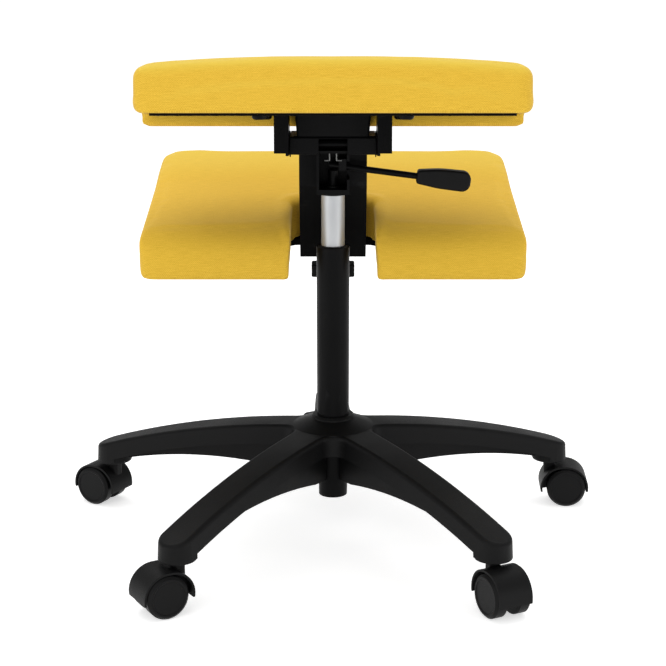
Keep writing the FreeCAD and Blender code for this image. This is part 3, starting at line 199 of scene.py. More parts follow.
class Shader:
    """A material's node tree with short ways to add and join nodes."""

    def __init__(self, name: str) -> None:
        """Start an empty material with one surface shader.

        Args:
            name: Name of the material.
        """
        self.material = bpy.data.materials.new(name)
        self.material.use_nodes = True
        self.tree = self.material.node_tree
        self.tree.nodes.clear()
        self.surface = self.add("ShaderNodeBsdfPrincipled")
        output = self.add("ShaderNodeOutputMaterial")
        self.join(self.surface.outputs["BSDF"], output.inputs["Surface"])

    def add(self, kind: str, **values: object) -> bpy.types.Node:
        """Add a node and set its plain settings.

        Args:
            kind: Blender's name for the node type.
            values: Settings of the node itself.

        Returns:
            The new node.
        """
        node = self.tree.nodes.new(kind)
        for key, value in values.items():
            setattr(node, key, value)
        return node

    def join(self, source: bpy.types.NodeSocket, target: bpy.types.NodeSocket) -> None:
        """Link one socket to another."""
        self.tree.links.new(source, target)

    def effect(self, group: bpy.types.NodeTree, **values: float) -> bpy.types.Node:
        """Place a shared effect that reads the point's place and the way it faces.

        Args:
            group: The shared node group.
            values: Numbers for the group's named inputs.

        Returns:
            The group's node.
        """
        node = self.add("ShaderNodeGroup", node_tree=group)
        spot = self.add("ShaderNodeTexCoord")
        self.join(spot.outputs["Object"], node.inputs["Place"])
        self.join(spot.outputs["Normal"], node.inputs["Facing"])
        for key, value in values.items():
            node.inputs[key].default_value = value
        return node

    def tint(self, mask: bpy.types.NodeSocket, low: tuple, high: tuple) -> None:
        """Blend two colours by a mask into the surface's colour.

        Args:
            mask: Value from 0 to 1 over the surface.
            low: Colour where the mask is 0.
            high: Colour where the mask is 1.
        """
        mix = self.add("ShaderNodeMix", data_type="RGBA")
        self.join(mask, mix.inputs["Factor"])
        mix.inputs["A"].default_value = (*low, 1.0)
        mix.inputs["B"].default_value = (*high, 1.0)
        self.join(mix.outputs["Result"], self.surface.inputs["Base Color"])

    def vary(self, mask: bpy.types.NodeSocket, low: float, high: float, target: str) -> None:
        """Feed one of the surface's inputs with a number that follows a mask.

        Args:
            mask: Value from 0 to 1 over the surface.
            low: Number where the mask is 0.
            high: Number where the mask is 1.
            target: The surface input to feed.
        """
        spread = self.add("ShaderNodeMapRange")
        self.join(mask, spread.inputs["Value"])
        spread.inputs["To Min"].default_value = low
        spread.inputs["To Max"].default_value = high
        self.join(spread.outputs["Result"], self.surface.inputs[target])

    def lay_over(self, mask: bpy.types.NodeSocket, colour: tuple, share: float = 1.0) -> None:
        """Lay a colour over the one already on the surface.

        Args:
            mask: Value from 0 to 1 over the surface.
            colour: The colour that is laid over.
            share: How much it covers where the mask is 1.
        """
        cover = self.add("ShaderNodeMath", operation="MULTIPLY")
        self.join(mask, cover.inputs[0])
        cover.inputs[1].default_value = share
        mix = self.add("ShaderNodeMix", data_type="RGBA")
        self.join(cover.outputs[0], mix.inputs["Factor"])
        self.join(self.surface.inputs["Base Color"].links[0].from_socket, mix.inputs["A"])
        mix.inputs["B"].default_value = (*colour, 1.0)
        self.join(mix.outputs["Result"], self.surface.inputs["Base Color"])

    def higher_than(self, height: float) -> bpy.types.NodeSocket:
        """Mask that is 1 above a height on the chair and 0 below it."""
        axes = self.add("ShaderNodeSeparateXYZ")
        self.join(self.add("ShaderNodeTexCoord").outputs["Object"], axes.inputs["Vector"])
        above = self.add("ShaderNodeMath", operation="GREATER_THAN")
        self.join(axes.outputs["Z"], above.inputs[0])
        above.inputs[1].default_value = height
        return above.outputs[0]

    def emboss(self, height: bpy.types.NodeSocket, depth: float, strength: float) -> None:
        """Raise the surface's normals by a height map.

        Args:
            height: Height from 0 to 1 over the surface.
            depth: Height of the relief in metres.
            strength: Share of the relief that shows.
        """
        bump = self.add("ShaderNodeBump")
        bump.inputs["Strength"].default_value = strength
        bump.inputs["Distance"].default_value = depth
        self.join(height, bump.inputs["Height"])
        self.join(bump.outputs["Normal"], self.surface.inputs["Normal"])

    def plain(self, **values: float) -> None:
        """Set inputs of the surface that are the same all over it."""
        for key, value in values.items():
            self.surface.inputs[key.replace("_", " ")].default_value = value


class Group:
    """A shared node group under construction."""

    def __init__(self, name: str, inputs: tuple, outputs: tuple) -> None:
        """Start a group that reads a place, the way it faces and some numbers.

        Args:
            name: Name of the group.
            inputs: Names of its number inputs.
            outputs: Names of its number outputs.
        """
        self.tree = bpy.data.node_groups.new(name, "ShaderNodeTree")
        for each in ("Place", "Facing"):
            self.tree.interface.new_socket(name=each, in_out="INPUT", socket_type="NodeSocketVector")
        for each in inputs:
            self.tree.interface.new_socket(name=each, in_out="INPUT", socket_type="NodeSocketFloat")
        for each in outputs:
            self.tree.interface.new_socket(name=each, in_out="OUTPUT", socket_type="NodeSocketFloat")
        self.source = self.tree.nodes.new("NodeGroupInput")
        self.target = self.tree.nodes.new("NodeGroupOutput")

    def add(self, kind: str, **values: object) -> bpy.types.Node:
        """Add a node and set its plain settings."""
        node = self.tree.nodes.new(kind)
        for key, value in values.items():
            setattr(node, key, value)
        return node

    def join(self, source: bpy.types.NodeSocket, target: bpy.types.NodeSocket) -> None:
        """Link one socket to another."""
        self.tree.links.new(source, target)

    def math(self, operation: str, first: bpy.types.NodeSocket, second: object) -> bpy.types.NodeSocket:
        """Combine a socket with a second socket or a number.

        Args:
            operation: Blender's name for the sum to do.
            first: First value.
            second: Second value, a socket or a number.

        Returns:
            Socket of the result.
        """
        node = self.add("ShaderNodeMath", operation=operation)
        self.join(first, node.inputs[0])
        if isinstance(second, (int, float)):
            node.inputs[1].default_value = second
        else:
            self.join(second, node.inputs[1])
        return node.outputs[0]

    def blend(self, first: bpy.types.NodeSocket, share: float, second: bpy.types.NodeSocket,
              rest: float) -> bpy.types.NodeSocket:
        """Sum of two values, each by its share.

        Args:
            first: First value.
            share: Share of the first value.
            second: Second value.
            rest: Share of the second value.

        Returns:
            Socket of the sum.
        """
        parts = [self.math("MULTIPLY", value, part) for value, part in ((first, share), (second, rest))]
        return self.math("ADD", *parts)

    def noise(self, place: bpy.types.NodeSocket, scale: object, detail: float) -> bpy.types.NodeSocket:
        """Cloudy variation at a scale.

        Args:
            place: Socket of the place to read.
            scale: Patches per metre, a socket or a number.
            detail: Number of finer layers.

        Returns:
            Socket of the value.
        """
        node = self.add("ShaderNodeTexNoise")
        self.join(place, node.inputs["Vector"])
        if isinstance(scale, (int, float)):
            node.inputs["Scale"].default_value = scale
        else:
            self.join(scale, node.inputs["Scale"])
        node.inputs["Detail"].default_value = detail
        return node.outputs["Fac"]

    def choose(self, mask: bpy.types.NodeSocket, low: bpy.types.NodeSocket,
               high: bpy.types.NodeSocket) -> bpy.types.NodeSocket:
        """One value where a mask is 0 and another where it is 1.

        Args:
            mask: The mask.
            low: Value where it is 0.
            high: Value where it is 1.

        Returns:
            Socket of the result.
        """
        node = self.add("ShaderNodeMix", data_type="FLOAT")
        for key, value in (("Factor", mask), ("A", low), ("B", high)):
            self.join(value, node.inputs[key])
        return node.outputs["Result"]

    def laid(self, across: bpy.types.NodeSocket, down: bpy.types.NodeSocket, wide: float,
             tall: float) -> bpy.types.NodeSocket:
        """Place on the laid-out cloth, with a number of patches per metre each way.

        Args:
            across: Place along the weft.
            down: Place along the warp.
            wide: Patches per metre along the weft.
            tall: Patches per metre along the warp.

        Returns:
            Socket of the place as a vector.
        """
        node = self.add("ShaderNodeCombineXYZ")
        self.join(self.math("MULTIPLY", across, wide), node.inputs["X"])
        self.join(self.math("MULTIPLY", down, tall), node.inputs["Y"])
        return node.outputs["Vector"]

    def stretched(self, along: tuple) -> bpy.types.NodeSocket:
        """Place drawn out by a factor on each axis."""
        node = self.add("ShaderNodeMapping")
        self.join(self.source.outputs["Place"], node.inputs["Vector"])
        node.inputs["Scale"].default_value = along
        return node.outputs["Vector"]

    def contrast(self, value: bpy.types.NodeSocket, low: float, high: float) -> bpy.types.NodeSocket:
        """Spread the values between two limits over the whole range.

        Args:
            value: Socket to spread.
            low: Value that becomes 0.
            high: Value that becomes 1.

        Returns:
            Socket of the result.
        """
        node = self.add("ShaderNodeMapRange")
        self.join(value, node.inputs["Value"])
        node.inputs["From Min"].default_value = low
        node.inputs["From Max"].default_value = high
        return node.outputs["Result"]

    def give(self, name: str, value: bpy.types.NodeSocket) -> None:
        """Send a value out of the group."""
        self.join(value, self.target.inputs[name])


def grain_group() -> bpy.types.NodeTree:
    """Fine moulded or sprayed grain, with broad patches of tone.

    Returns:
        The node group, with outputs Height and Tone.
    """
    group = Group("surface_grain", ("Grain", "Patch"), ("Height", "Tone"))
    place = group.source.outputs["Place"]
    fine = group.noise(place, group.source.outputs["Grain"], 2.0)
    broad = group.noise(place, group.source.outputs["Patch"], 4.0)
    group.give("Height", group.contrast(fine, 0.3, 0.7))
    group.give("Tone", group.contrast(broad, 0.32, 0.68))
    return group.tree


# Weave: how squarely a side faces X, uneven yarns per metre each way, the depth where the seat's shadow ends
# and painted light starts, and the seat's level
SIDE_FACING = 0.75
SLUBS = (70.0, 1100.0)
FLECKS = (620.0, 900.0)
SHADE_EDGE = (0.15, 0.28)
SEAT_LEVEL = 0.50


def weave_group() -> bpy.types.NodeTree:
    """Plain weave with uneven yarns that run round the cushion, level on every side, and a mask of painted
    light.

    Returns:
        The node group, with outputs Height, Yarn, Tone, and a mask of painted light: 1 on up-facing sides out
        of the seat's shadow.
    """
    group = Group("woven_yarn", ("Thread", "Patch"), ("Height", "Yarn", "Tone", "PaintedLight"))
    at = group.add("ShaderNodeSeparateXYZ")
    group.join(group.source.outputs["Place"], at.inputs["Vector"])
    facing = group.add("ShaderNodeSeparateXYZ")
    group.join(group.source.outputs["Facing"], facing.inputs["Vector"])
    side = group.math("GREATER_THAN", group.math("ABSOLUTE", facing.outputs["X"], 0.0), SIDE_FACING)
    across = group.choose(side, at.outputs["X"], at.outputs["Y"])
    down = group.choose(side, group.math("ADD", at.outputs["Y"], at.outputs["Z"]), at.outputs["Z"])
    thread = group.source.outputs["Thread"]
    weft = group.math("SINE", group.math("MULTIPLY", down, thread), 0.0)
    warp = group.math("SINE", group.math("MULTIPLY", across, thread), 0.0)
    knots = group.contrast(group.math("MULTIPLY", weft, warp), -1.0, 1.0)
    slub = group.noise(group.laid(across, down, *SLUBS), 1.0, 2.0)
    fleck = group.noise(group.laid(across, down, *FLECKS), 1.0, 2.0)
    rough = group.contrast(group.blend(slub, 0.5, fleck, 0.5), 0.32, 0.68)
    broad = group.noise(group.source.outputs["Place"], group.source.outputs["Patch"], 3.0)
    group.give("Height", group.blend(knots, 0.5, rough, 0.5))
    group.give("Yarn", group.blend(knots, 0.4, rough, 0.6))
    group.give("Tone", group.contrast(broad, 0.3, 0.7))
    # Painted light: up-facing sides ahead of the seat's shadow on the knee pad, and all up-facing sides above
    # the seat's level, get 1 here so that a lighter colour is painted there as light
    upward = group.contrast(facing.outputs["Z"], 0.2, 1.0)
    ahead = group.contrast(at.outputs["Y"], *SHADE_EDGE)
    out_of_seat_shadow = group.math("MAXIMUM", ahead, group.math("GREATER_THAN", at.outputs["Z"], SEAT_LEVEL))
    group.give("PaintedLight", group.math("MULTIPLY", upward, out_of_seat_shadow))
    return group.tree


def scuff_group() -> bpy.types.NodeTree:
    """Sparse thin scratches and rubbed spots.

    Returns:
        The node group, with the output Scuff.
    """
    group = Group("light_scuffs", ("Scale",), ("Scuff",))
    lines = group.noise(group.stretched((1.0, 6.0, 1.4)), group.source.outputs["Scale"], 5.0)
    spots = group.noise(group.source.outputs["Place"], group.source.outputs["Scale"], 2.0)
    sharp = group.contrast(lines, 0.62, 0.72)
    group.give("Scuff", group.math("MULTIPLY", sharp, group.contrast(spots, 0.45, 0.6)))
    return group.tree


@dataclass(frozen=True)
class SharedEffects:
    """Node groups that several finishes use."""

    grain: bpy.types.NodeTree
    weave: bpy.types.NodeTree
    scuffs: bpy.types.NodeTree


# Finishes


@dataclass(frozen=True)
class WovenFabric:
    """Upholstery fabric with slubbed yarns, painted lighter and yellower as light on its up-facing sides out
    of the seat's shadow.
    """

    name: str
    dark: tuple = (0.560, 0.325, 0.020)
    light: tuple = (0.860, 0.560, 0.064)
    painted_light_colour: tuple = (0.740, 0.580, 0.080)
    thread: float = 2500.0
    patch: float = 5.0
    relief: float = 0.0003
    raised: float = 0.5
    painted_light_share: float = 0.55
    smooth: float = 0.80
    rough: float = 0.92
    sheen: float = 0.10
    sheen_roughness: float = 0.40
    specular: float = 0.15

    def make(self, effects: SharedEffects) -> bpy.types.Material:
        """Build the material.

        Args:
            effects: The shared node groups.

        Returns:
            The finished material.
        """
        shader = Shader(self.name)
        weave = shader.effect(effects.weave, Thread=self.thread, Patch=self.patch)
        shader.tint(weave.outputs["Yarn"], self.dark, self.light)
        # Painted light: up-facing fabric out of the seat's shadow takes a lighter colour, so the knee pad
        # under the seat is left darker as painted shade
        shader.lay_over(weave.outputs["PaintedLight"], self.painted_light_colour, self.painted_light_share)
        shader.vary(weave.outputs["Tone"], self.smooth, self.rough, "Roughness")
        shader.emboss(weave.outputs["Height"], self.relief, self.raised)
        shader.plain(Sheen_Weight=self.sheen, Sheen_Roughness=self.sheen_roughness,
                     Specular_IOR_Level=self.specular)
        return shader.material


@dataclass(frozen=True)
class Moulded:
    """Moulded nylon or rubber with a fine grain."""

    name: str
    dark: tuple = (0.0040, 0.0040, 0.0041)
    light: tuple = (0.0062, 0.0062, 0.0064)
    grain: float = 1500.0
    patch: float = 9.0
    relief: float = 0.00012
    raised: float = 0.5
    smooth: float = 0.42
    rough: float = 0.58
    specular: float = 0.10

    def make(self, effects: SharedEffects) -> bpy.types.Material:
        """Build the material.

        Args:
            effects: The shared node groups.

        Returns:
            The finished material.
        """
        shader = Shader(self.name)
        grain = shader.effect(effects.grain, Grain=self.grain, Patch=self.patch)
        shader.tint(grain.outputs["Tone"], self.dark, self.light)
        shader.vary(grain.outputs["Tone"], self.smooth, self.rough, "Roughness")
        shader.emboss(grain.outputs["Height"], self.relief, self.raised)
        shader.plain(Specular_IOR_Level=self.specular)
        return shader.material


@dataclass(frozen=True)
class PowderCoat:
    """Black powder coat on steel, rubbed brighter in a few places."""

    name: str
    coat: tuple = (0.0028, 0.0028, 0.0030)
    rubbed: tuple = (0.010, 0.010, 0.0105)
    grain: float = 900.0
    patch: float = 14.0
    scuff: float = 34.0
    relief: float = 0.00010
    raised: float = 0.45
    smooth: float = 0.34
    rough: float = 0.50
    specular: float = 0.06

    def make(self, effects: SharedEffects) -> bpy.types.Material:
        """Build the material.

        Args:
            effects: The shared node groups.

        Returns:
            The finished material.
        """
        shader = Shader(self.name)
        grain = shader.effect(effects.grain, Grain=self.grain, Patch=self.patch)
        scuffs = shader.effect(effects.scuffs, Scale=self.scuff)
        shader.tint(scuffs.outputs["Scuff"], self.coat, self.rubbed)
        shader.vary(grain.outputs["Tone"], self.smooth, self.rough, "Roughness")
        shader.emboss(grain.outputs["Height"], self.relief, self.raised)
        shader.plain(Specular_IOR_Level=self.specular)
        return shader.material


@dataclass(frozen=True)
class PlatedMetal:
    """Chrome or zinc plate with faint handling marks."""

    name: str
    colour: tuple = (0.44, 0.45, 0.46)
    dulled: tuple = (0.39, 0.40, 0.41)
    smooth: float = 0.44
    rough: float = 0.52
    metal: float = 0.6
    grain: float = 260.0
    patch: float = 30.0
    relief: float = 0.00001
    raised: float = 0.2
    black: tuple = (0.004, 0.004, 0.004)
    blackened_above: float | None = None

    def make(self, effects: SharedEffects) -> bpy.types.Material:
        """Build the material.

        Args:
            effects: The shared node groups.

        Returns:
            The finished material.
        """
        shader = Shader(self.name)
        grain = shader.effect(effects.grain, Grain=self.grain, Patch=self.patch)
        scuffs = shader.effect(effects.scuffs, Scale=self.patch)
        shader.tint(scuffs.outputs["Scuff"], self.colour, self.dulled)
        shader.vary(grain.outputs["Tone"], self.smooth, self.rough, "Roughness")
        shader.emboss(grain.outputs["Height"], self.relief, self.raised)
        shader.plain(Metallic=self.metal)
        if self.blackened_above is not None:
            shader.lay_over(shader.higher_than(self.blackened_above), self.black)
        return shader.material


@dataclass(frozen=True)
class CoveredBoard:
    """Plywood board under black lining cloth."""

    name: str
    dark: tuple = (0.0025, 0.0025, 0.0025)
    light: tuple = (0.0050, 0.0048, 0.0048)
    thread: float = 5200.0
    patch: float = 12.0
    relief: float = 0.0002
    raised: float = 0.5
    smooth: float = 0.82
    rough: float = 0.95
    specular: float = 0.06

    def make(self, effects: SharedEffects) -> bpy.types.Material:
        """Build the material.

        Args:
            effects: The shared node groups.

        Returns:
            The finished material.
        """
        shader = Shader(self.name)
        weave = shader.effect(effects.weave, Thread=self.thread, Patch=self.patch)
        shader.tint(weave.outputs["Yarn"], self.dark, self.light)
        shader.vary(weave.outputs["Tone"], self.smooth, self.rough, "Roughness")
        shader.emboss(weave.outputs["Height"], self.relief, self.raised)
        shader.plain(Specular_IOR_Level=self.specular)
        return shader.material


@dataclass(frozen=True)
class Finishes:
    """Every finish on the chair, ready to assign."""

    fabric: bpy.types.Material
    nylon: bpy.types.Material
    wheel: bpy.types.Material
    rubber: bpy.types.Material
    steel: bpy.types.Material
    chrome: bpy.types.Material
    zinc: bpy.types.Material
    board: bpy.types.Material


def make_finishes() -> Finishes:
    """Build the chair's finishes.

    Returns:
        All of them, by name.
    """
    effects = SharedEffects(grain_group(), weave_group(), scuff_group())
    return Finishes(
        fabric=WovenFabric("yellow_upholstery").make(effects),
        nylon=Moulded("black_nylon").make(effects),
        wheel=Moulded("wheel_nylon", smooth=0.36, rough=0.5, grain=2200.0).make(effects),
        rubber=Moulded("buffer_rubber", smooth=0.6, rough=0.75, grain=700.0).make(effects),
        steel=PowderCoat("black_powder_coat").make(effects),
        chrome=PlatedMetal("chromed_cylinder", blackened_above=0.4353).make(effects),
        zinc=PlatedMetal("zinc_plate", colour=(0.17, 0.17, 0.165), dulled=(0.12, 0.12, 0.115),
                         metal=0.9).make(effects),
        board=CoveredBoard("lined_board").make(effects),
    )


# Modelling helpers


def pick_none() -> None:
    """Leave nothing selected."""
    for each in bpy.context.selected_objects:
        each.select_set(False)


def make_active(piece: bpy.types.Object) -> None:
    """Select one object alone and make it the active one."""
    pick_none()
    piece.select_set(True)
    bpy.context.view_layer.objects.active = piece


def apply_modifiers(piece: bpy.types.Object) -> None:
    """Apply every modifier on a piece, in order."""
    make_active(piece)
    for each in list(piece.modifiers):
        bpy.ops.object.modifier_apply(modifier=each.name)


def settle(piece: bpy.types.Object) -> None:
    """Move a piece's place, turn and scale into its mesh."""
    make_active(piece)
    bpy.ops.object.transform_apply(location=True, rotation=True, scale=True)


def pick_faces(piece: bpy.types.Object, wanted: Callable[[Vector, Vector], bool]) -> None:
    """Select the faces of a piece in edit mode that pass a test.

    Args:
        piece: Object that is being edited.
        wanted: Test of a face's centre and normal.
    """
    bpy.ops.mesh.select_mode(type="FACE")
    bpy.ops.mesh.select_all(action="DESELECT")
    bpy.ops.object.mode_set(mode="OBJECT")
    for face in piece.data.polygons:
        face.select = wanted(face.center, face.normal)
    bpy.ops.object.mode_set(mode="EDIT")


def copies(master: bpy.types.Object, name: str, places: list) -> bpy.types.Object:
    """Set copies of a finished shape at several places, as one piece.

    Args:
        master: Shape modelled at the origin; it is used up.
        name: Name of the piece.
        places: A matrix for each copy.

    Returns:
        The joined piece.
    """
    made = []
    for matrix in places:
        twin = master.copy()
        twin.data = master.data.copy()
        bpy.context.scene.collection.objects.link(twin)
        twin.data.transform(matrix)
        made.append(twin)
    bpy.data.objects.remove(master)
    pick_none()
    for each in made:
        each.select_set(True)
    bpy.context.view_layer.objects.active = made[0]
    if len(made) > 1:
        bpy.ops.object.join()
    made[0].name = name
    return made[0]


def dress(piece: bpy.types.Object, finish: bpy.types.Material) -> None:
    """Give a piece one finish all over."""
    piece.data.materials.clear()
    piece.data.materials.append(finish)


def report(piece: bpy.types.Object) -> None:
    """Log a finished piece and its number of faces."""
    log.info("%s: %d faces", piece.name, len(piece.data.polygons))


# Sub-assemblies


@dataclass
class PaddedCover:
    """An upholstered cushion: foam under woven fabric, swollen over its board."""

    name: str
    node: str
    body: Body
    board: BoardPlane
    edges: SeatEdges | KneeEdges
    pinned_below: float
    fill: float = 0.9
    weld: float = 0.00002
    voxel: float = 0.004
    slack: float = 0.0006
    pressure: float = 4.0
    swell: float = 0.0024
    stretch_stiffness: float = 25.0
    bending_stiffness: float = 4.0
    frames: int = 20
    soften: int = 3
    softness: float = 0.5
    firm_share: float = 0.8
    firm_reach: tuple = (0.002, 0.004)
    tucked_below: float = 0.003

    def drawn_out(self, point: Vector, normal: Vector) -> float:
        """How far the cover is drawn out at a point, in metres."""
        return self.edges.reach(self.board.layout(point), self.board.laid_flat(normal))

    def start_shape(self) -> bpy.types.Object:
        """Copy the foam's form as an even mesh, a little smaller.

        Returns:
            The new object.
        """
        source = frame["nodes"][self.node]
        piece = bpy.data.objects.new(self.name, source.data.copy())
        bpy.context.scene.collection.objects.link(piece)
        make_active(piece)
        bpy.ops.object.mode_set(mode="EDIT")
        bpy.ops.mesh.select_all(action="SELECT")
        bpy.ops.mesh.remove_doubles(threshold=self.weld)
        bpy.ops.object.mode_set(mode="OBJECT")
        remesh = piece.modifiers.new("even_mesh", "REMESH")
        remesh.mode = "VOXEL"
        remesh.voxel_size = self.voxel
        apply_modifiers(piece)
        bpy.ops.object.mode_set(mode="EDIT")
        bpy.ops.mesh.select_all(action="SELECT")
        bpy.ops.transform.shrink_fatten(value=-self.slack)
        bpy.ops.object.mode_set(mode="OBJECT")
        moves = [v.normal * self.drawn_out(v.co, v.normal) for v in piece.data.vertices]
        for vertex, move in zip(piece.data.vertices, moves):
            vertex.co += move
        return piece

    def is_held(self, spot: Vector, facing: Vector, middle: Vector) -> bool:
        """Whether a point stays with the board: under the cushion, or on a wall that faces inwards."""
        inwards = facing.x * (spot.x - middle.x) + facing.y * (spot.y - middle.y) < 0.0
        return spot.z < self.tucked_below or (spot.z < self.pinned_below and inwards)

    def hold_underside(self, piece: bpy.types.Object) -> None:
        """Mark the points that stay with the board, and those that are free.

        Args:
            piece: The cushion.
        """
        held = piece.vertex_groups.new(name="held")
        free = piece.vertex_groups.new(name="free")
        low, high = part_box(self.node)
        middle = self.board.layout((Vector(low) + Vector(high)) / 2)
        for vertex in piece.data.vertices:
            spot = self.board.layout(vertex.co)
            facing = self.board.laid_flat(vertex.normal)
            if self.is_held(spot, facing, middle):
                held.add([vertex.index], 1.0, "REPLACE")
            else:
                firm = self.firm_share * ramp(self.edges.reach(spot, facing), *self.firm_reach)
                free.add([vertex.index], 1.0 - firm, "REPLACE")

    def inflate(self, piece: bpy.types.Object) -> None:
        """Swell the cover by air pressure, only outwards and not too far.

        Args:
            piece: The cushion.
        """
        before = [(v.co.copy(), v.normal.copy()) for v in piece.data.vertices]
        cloth = piece.modifiers.new("swell", "CLOTH")
        cloth.settings.use_pressure = True
        cloth.settings.uniform_pressure_force = self.pressure
        cloth.settings.effector_weights.gravity = 0.0
        cloth.settings.vertex_group_mass = "held"
        cloth.settings.tension_stiffness = self.stretch_stiffness
        cloth.settings.compression_stiffness = self.stretch_stiffness
        cloth.settings.bending_stiffness = self.bending_stiffness
        cloth.collision_settings.use_collision = False
        cloth.collision_settings.use_self_collision = False
        cloth.point_cache.frame_start = 1
        cloth.point_cache.frame_end = self.frames
        for number in range(1, self.frames + 1):
            bpy.context.scene.frame_set(number)
        apply_modifiers(piece)
        bpy.context.scene.frame_set(1)
        for vertex, (start, outwards) in zip(piece.data.vertices, before):
            swollen = (vertex.co - start).dot(outwards)
            vertex.co = start + outwards * min(max(swollen, 0.0), self.swell)

    def build(self, finish: bpy.types.Material) -> bpy.types.Object:
        """Make the cushion and put it in place of its solid.

        Args:
            finish: The upholstery fabric.

        Returns:
            The finished cushion.
        """
        piece = self.start_shape()
        self.hold_underside(piece)
        self.inflate(piece)
        soften = piece.modifiers.new("soften", "SMOOTH")
        soften.factor = self.softness
        soften.iterations = self.soften
        soften.vertex_group = "free"
        fine = piece.modifiers.new("fine", "SUBSURF")
        fine.levels = 1
        fine.render_levels = 1
        apply_modifiers(piece)
        bpy.ops.object.shade_smooth()
        piece.vertex_groups.clear()
        dress(piece, finish)
        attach(piece, self.body.value)
        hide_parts(self.node)
        report(piece)
        return piece


@dataclass
class LiningStaples:
    """Wire staples that hold the lining cloth round the edge of a board."""

    name: str
    body: Body
    board: BoardPlane
    corners: tuple
    crown: float = 0.0105
    wire: float = 0.0009
    sunk: float = 0.05
    bow: float = 0.5
    pitch: float = 0.042

    def staple(self) -> bpy.types.Object:
        """Model one staple lying along X, a little bowed.

        Returns:
            The staple at the origin.
        """
        pick_none()
        bpy.ops.mesh.primitive_cube_add(size=1.0, scale=(self.crown, self.wire, self.wire))
        piece = bpy.context.object
        settle(piece)
        bpy.ops.object.mode_set(mode="EDIT")
        bpy.ops.mesh.select_all(action="SELECT")
        bpy.ops.mesh.subdivide(number_cuts=1)
        pick_faces(piece, lambda centre, normal: abs(normal.x) > 0.9)
        bpy.ops.transform.translate(value=(0.0, 0.0, self.wire * self.bow))
        bpy.ops.object.mode_set(mode="OBJECT")
        return piece

    def places(self) -> list:
        """Spots along the board's edges, from corner to corner.

        Returns:
            A matrix for each staple.
        """
        spots = []
        for start, end in zip(self.corners, self.corners[1:]):
            first = Vector((*start, 0.0))
            run = Vector((*end, 0.0)) - first
            count = max(2, round(run.length / self.pitch))
            turn = Matrix.Rotation(math.atan2(run.y, run.x), 4, "Z")
            for step in range(count):
                at = first + run * ((step + 0.5) / count)
                spots.append(self.board.spot((at.x, at.y, self.wire * self.sunk)) @ turn)
        return spots

    def build(self, finish: bpy.types.Material) -> bpy.types.Object:
        """Set the staples round the board.

        Args:
            finish: The staples' plating.

        Returns:
            All the staples as one piece.
        """
        piece = copies(self.staple(), self.name, self.places())
        dress(piece, finish)
        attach(piece, self.body.value)
        report(piece)
        return piece


@dataclass
class BracketBolts:
    """Button-head bolts with six-sided sockets that hold the seat's brackets."""

    head: float = 0.0082
    height: float = 0.0044
    under: float = 0.00002
    socket: float = 0.0028
    depth: float = 0.0022
    shank: float = 0.003
    grip: float = 0.0087
    across: float = 0.080
    first: float = -0.0044
    pitch: float = 0.080
    rows: int = 3
    dome: float = 0.94
    dome_steps: int = 6
    sides: int = 32
    smooth_angle: float = 40.0

    def bolt(self) -> bpy.types.Object:
        """Model one bolt, head down, with its shank upwards.

        Returns:
            The bolt at the origin.
        """
        pick_none()
        middle = -self.under - self.height / 2
        bpy.ops.mesh.primitive_cylinder_add(vertices=self.sides, radius=self.head, depth=self.height,
                                            location=(0.0, 0.0, middle))
        piece = bpy.context.object
        settle(piece)
        bpy.ops.object.mode_set(mode="EDIT")
        pick_faces(piece, lambda centre, normal: normal.z < -0.9)
        bpy.ops.mesh.bevel(offset=self.height * self.dome, segments=self.dome_steps, affect="EDGES")
        pick_faces(piece, lambda centre, normal: normal.z > 0.9)
        bpy.ops.mesh.inset(thickness=self.head - self.shank)
        bpy.ops.mesh.extrude_region_move(TRANSFORM_OT_translate={"value": (0.0, 0.0, self.grip)})
        bpy.ops.object.mode_set(mode="OBJECT")
        self.sink_socket(piece)
        make_active(piece)
        bpy.ops.object.shade_smooth_by_angle(angle=math.radians(self.smooth_angle))
        return piece

    def sink_socket(self, piece: bpy.types.Object) -> None:
        """Cut the six-sided socket into a bolt's head.

        Args:
            piece: The bolt.
        """
        pick_none()
        bottom = -self.under - self.height
        bpy.ops.mesh.primitive_cylinder_add(vertices=6, radius=self.socket, depth=self.depth * 2,
                                            location=(0.0, 0.0, bottom))
        cutter = bpy.context.object
        settle(cutter)
        cut = piece.modifiers.new("socket", "BOOLEAN")
        cut.operation = "DIFFERENCE"
        cut.object = cutter
        apply_modifiers(piece)
        bpy.data.objects.remove(cutter)

    def build(self, finish: bpy.types.Material) -> bpy.types.Object:
        """Set the bolts under the seat.

        Args:
            finish: The bolts' coat.

        Returns:
            All the bolts as one piece.
        """
        spots = [SEAT_BOARD.spot((side * self.across, self.first - self.pitch * row, 0.0))
                 for side in (-1, 1) for row in range(self.rows)]
        piece = copies(self.bolt(), "seat_button_bolts", spots)
        dress(piece, finish)
        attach(piece, Body.SEAT.value)
        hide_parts("seat_bolts")
        report(piece)
        return piece


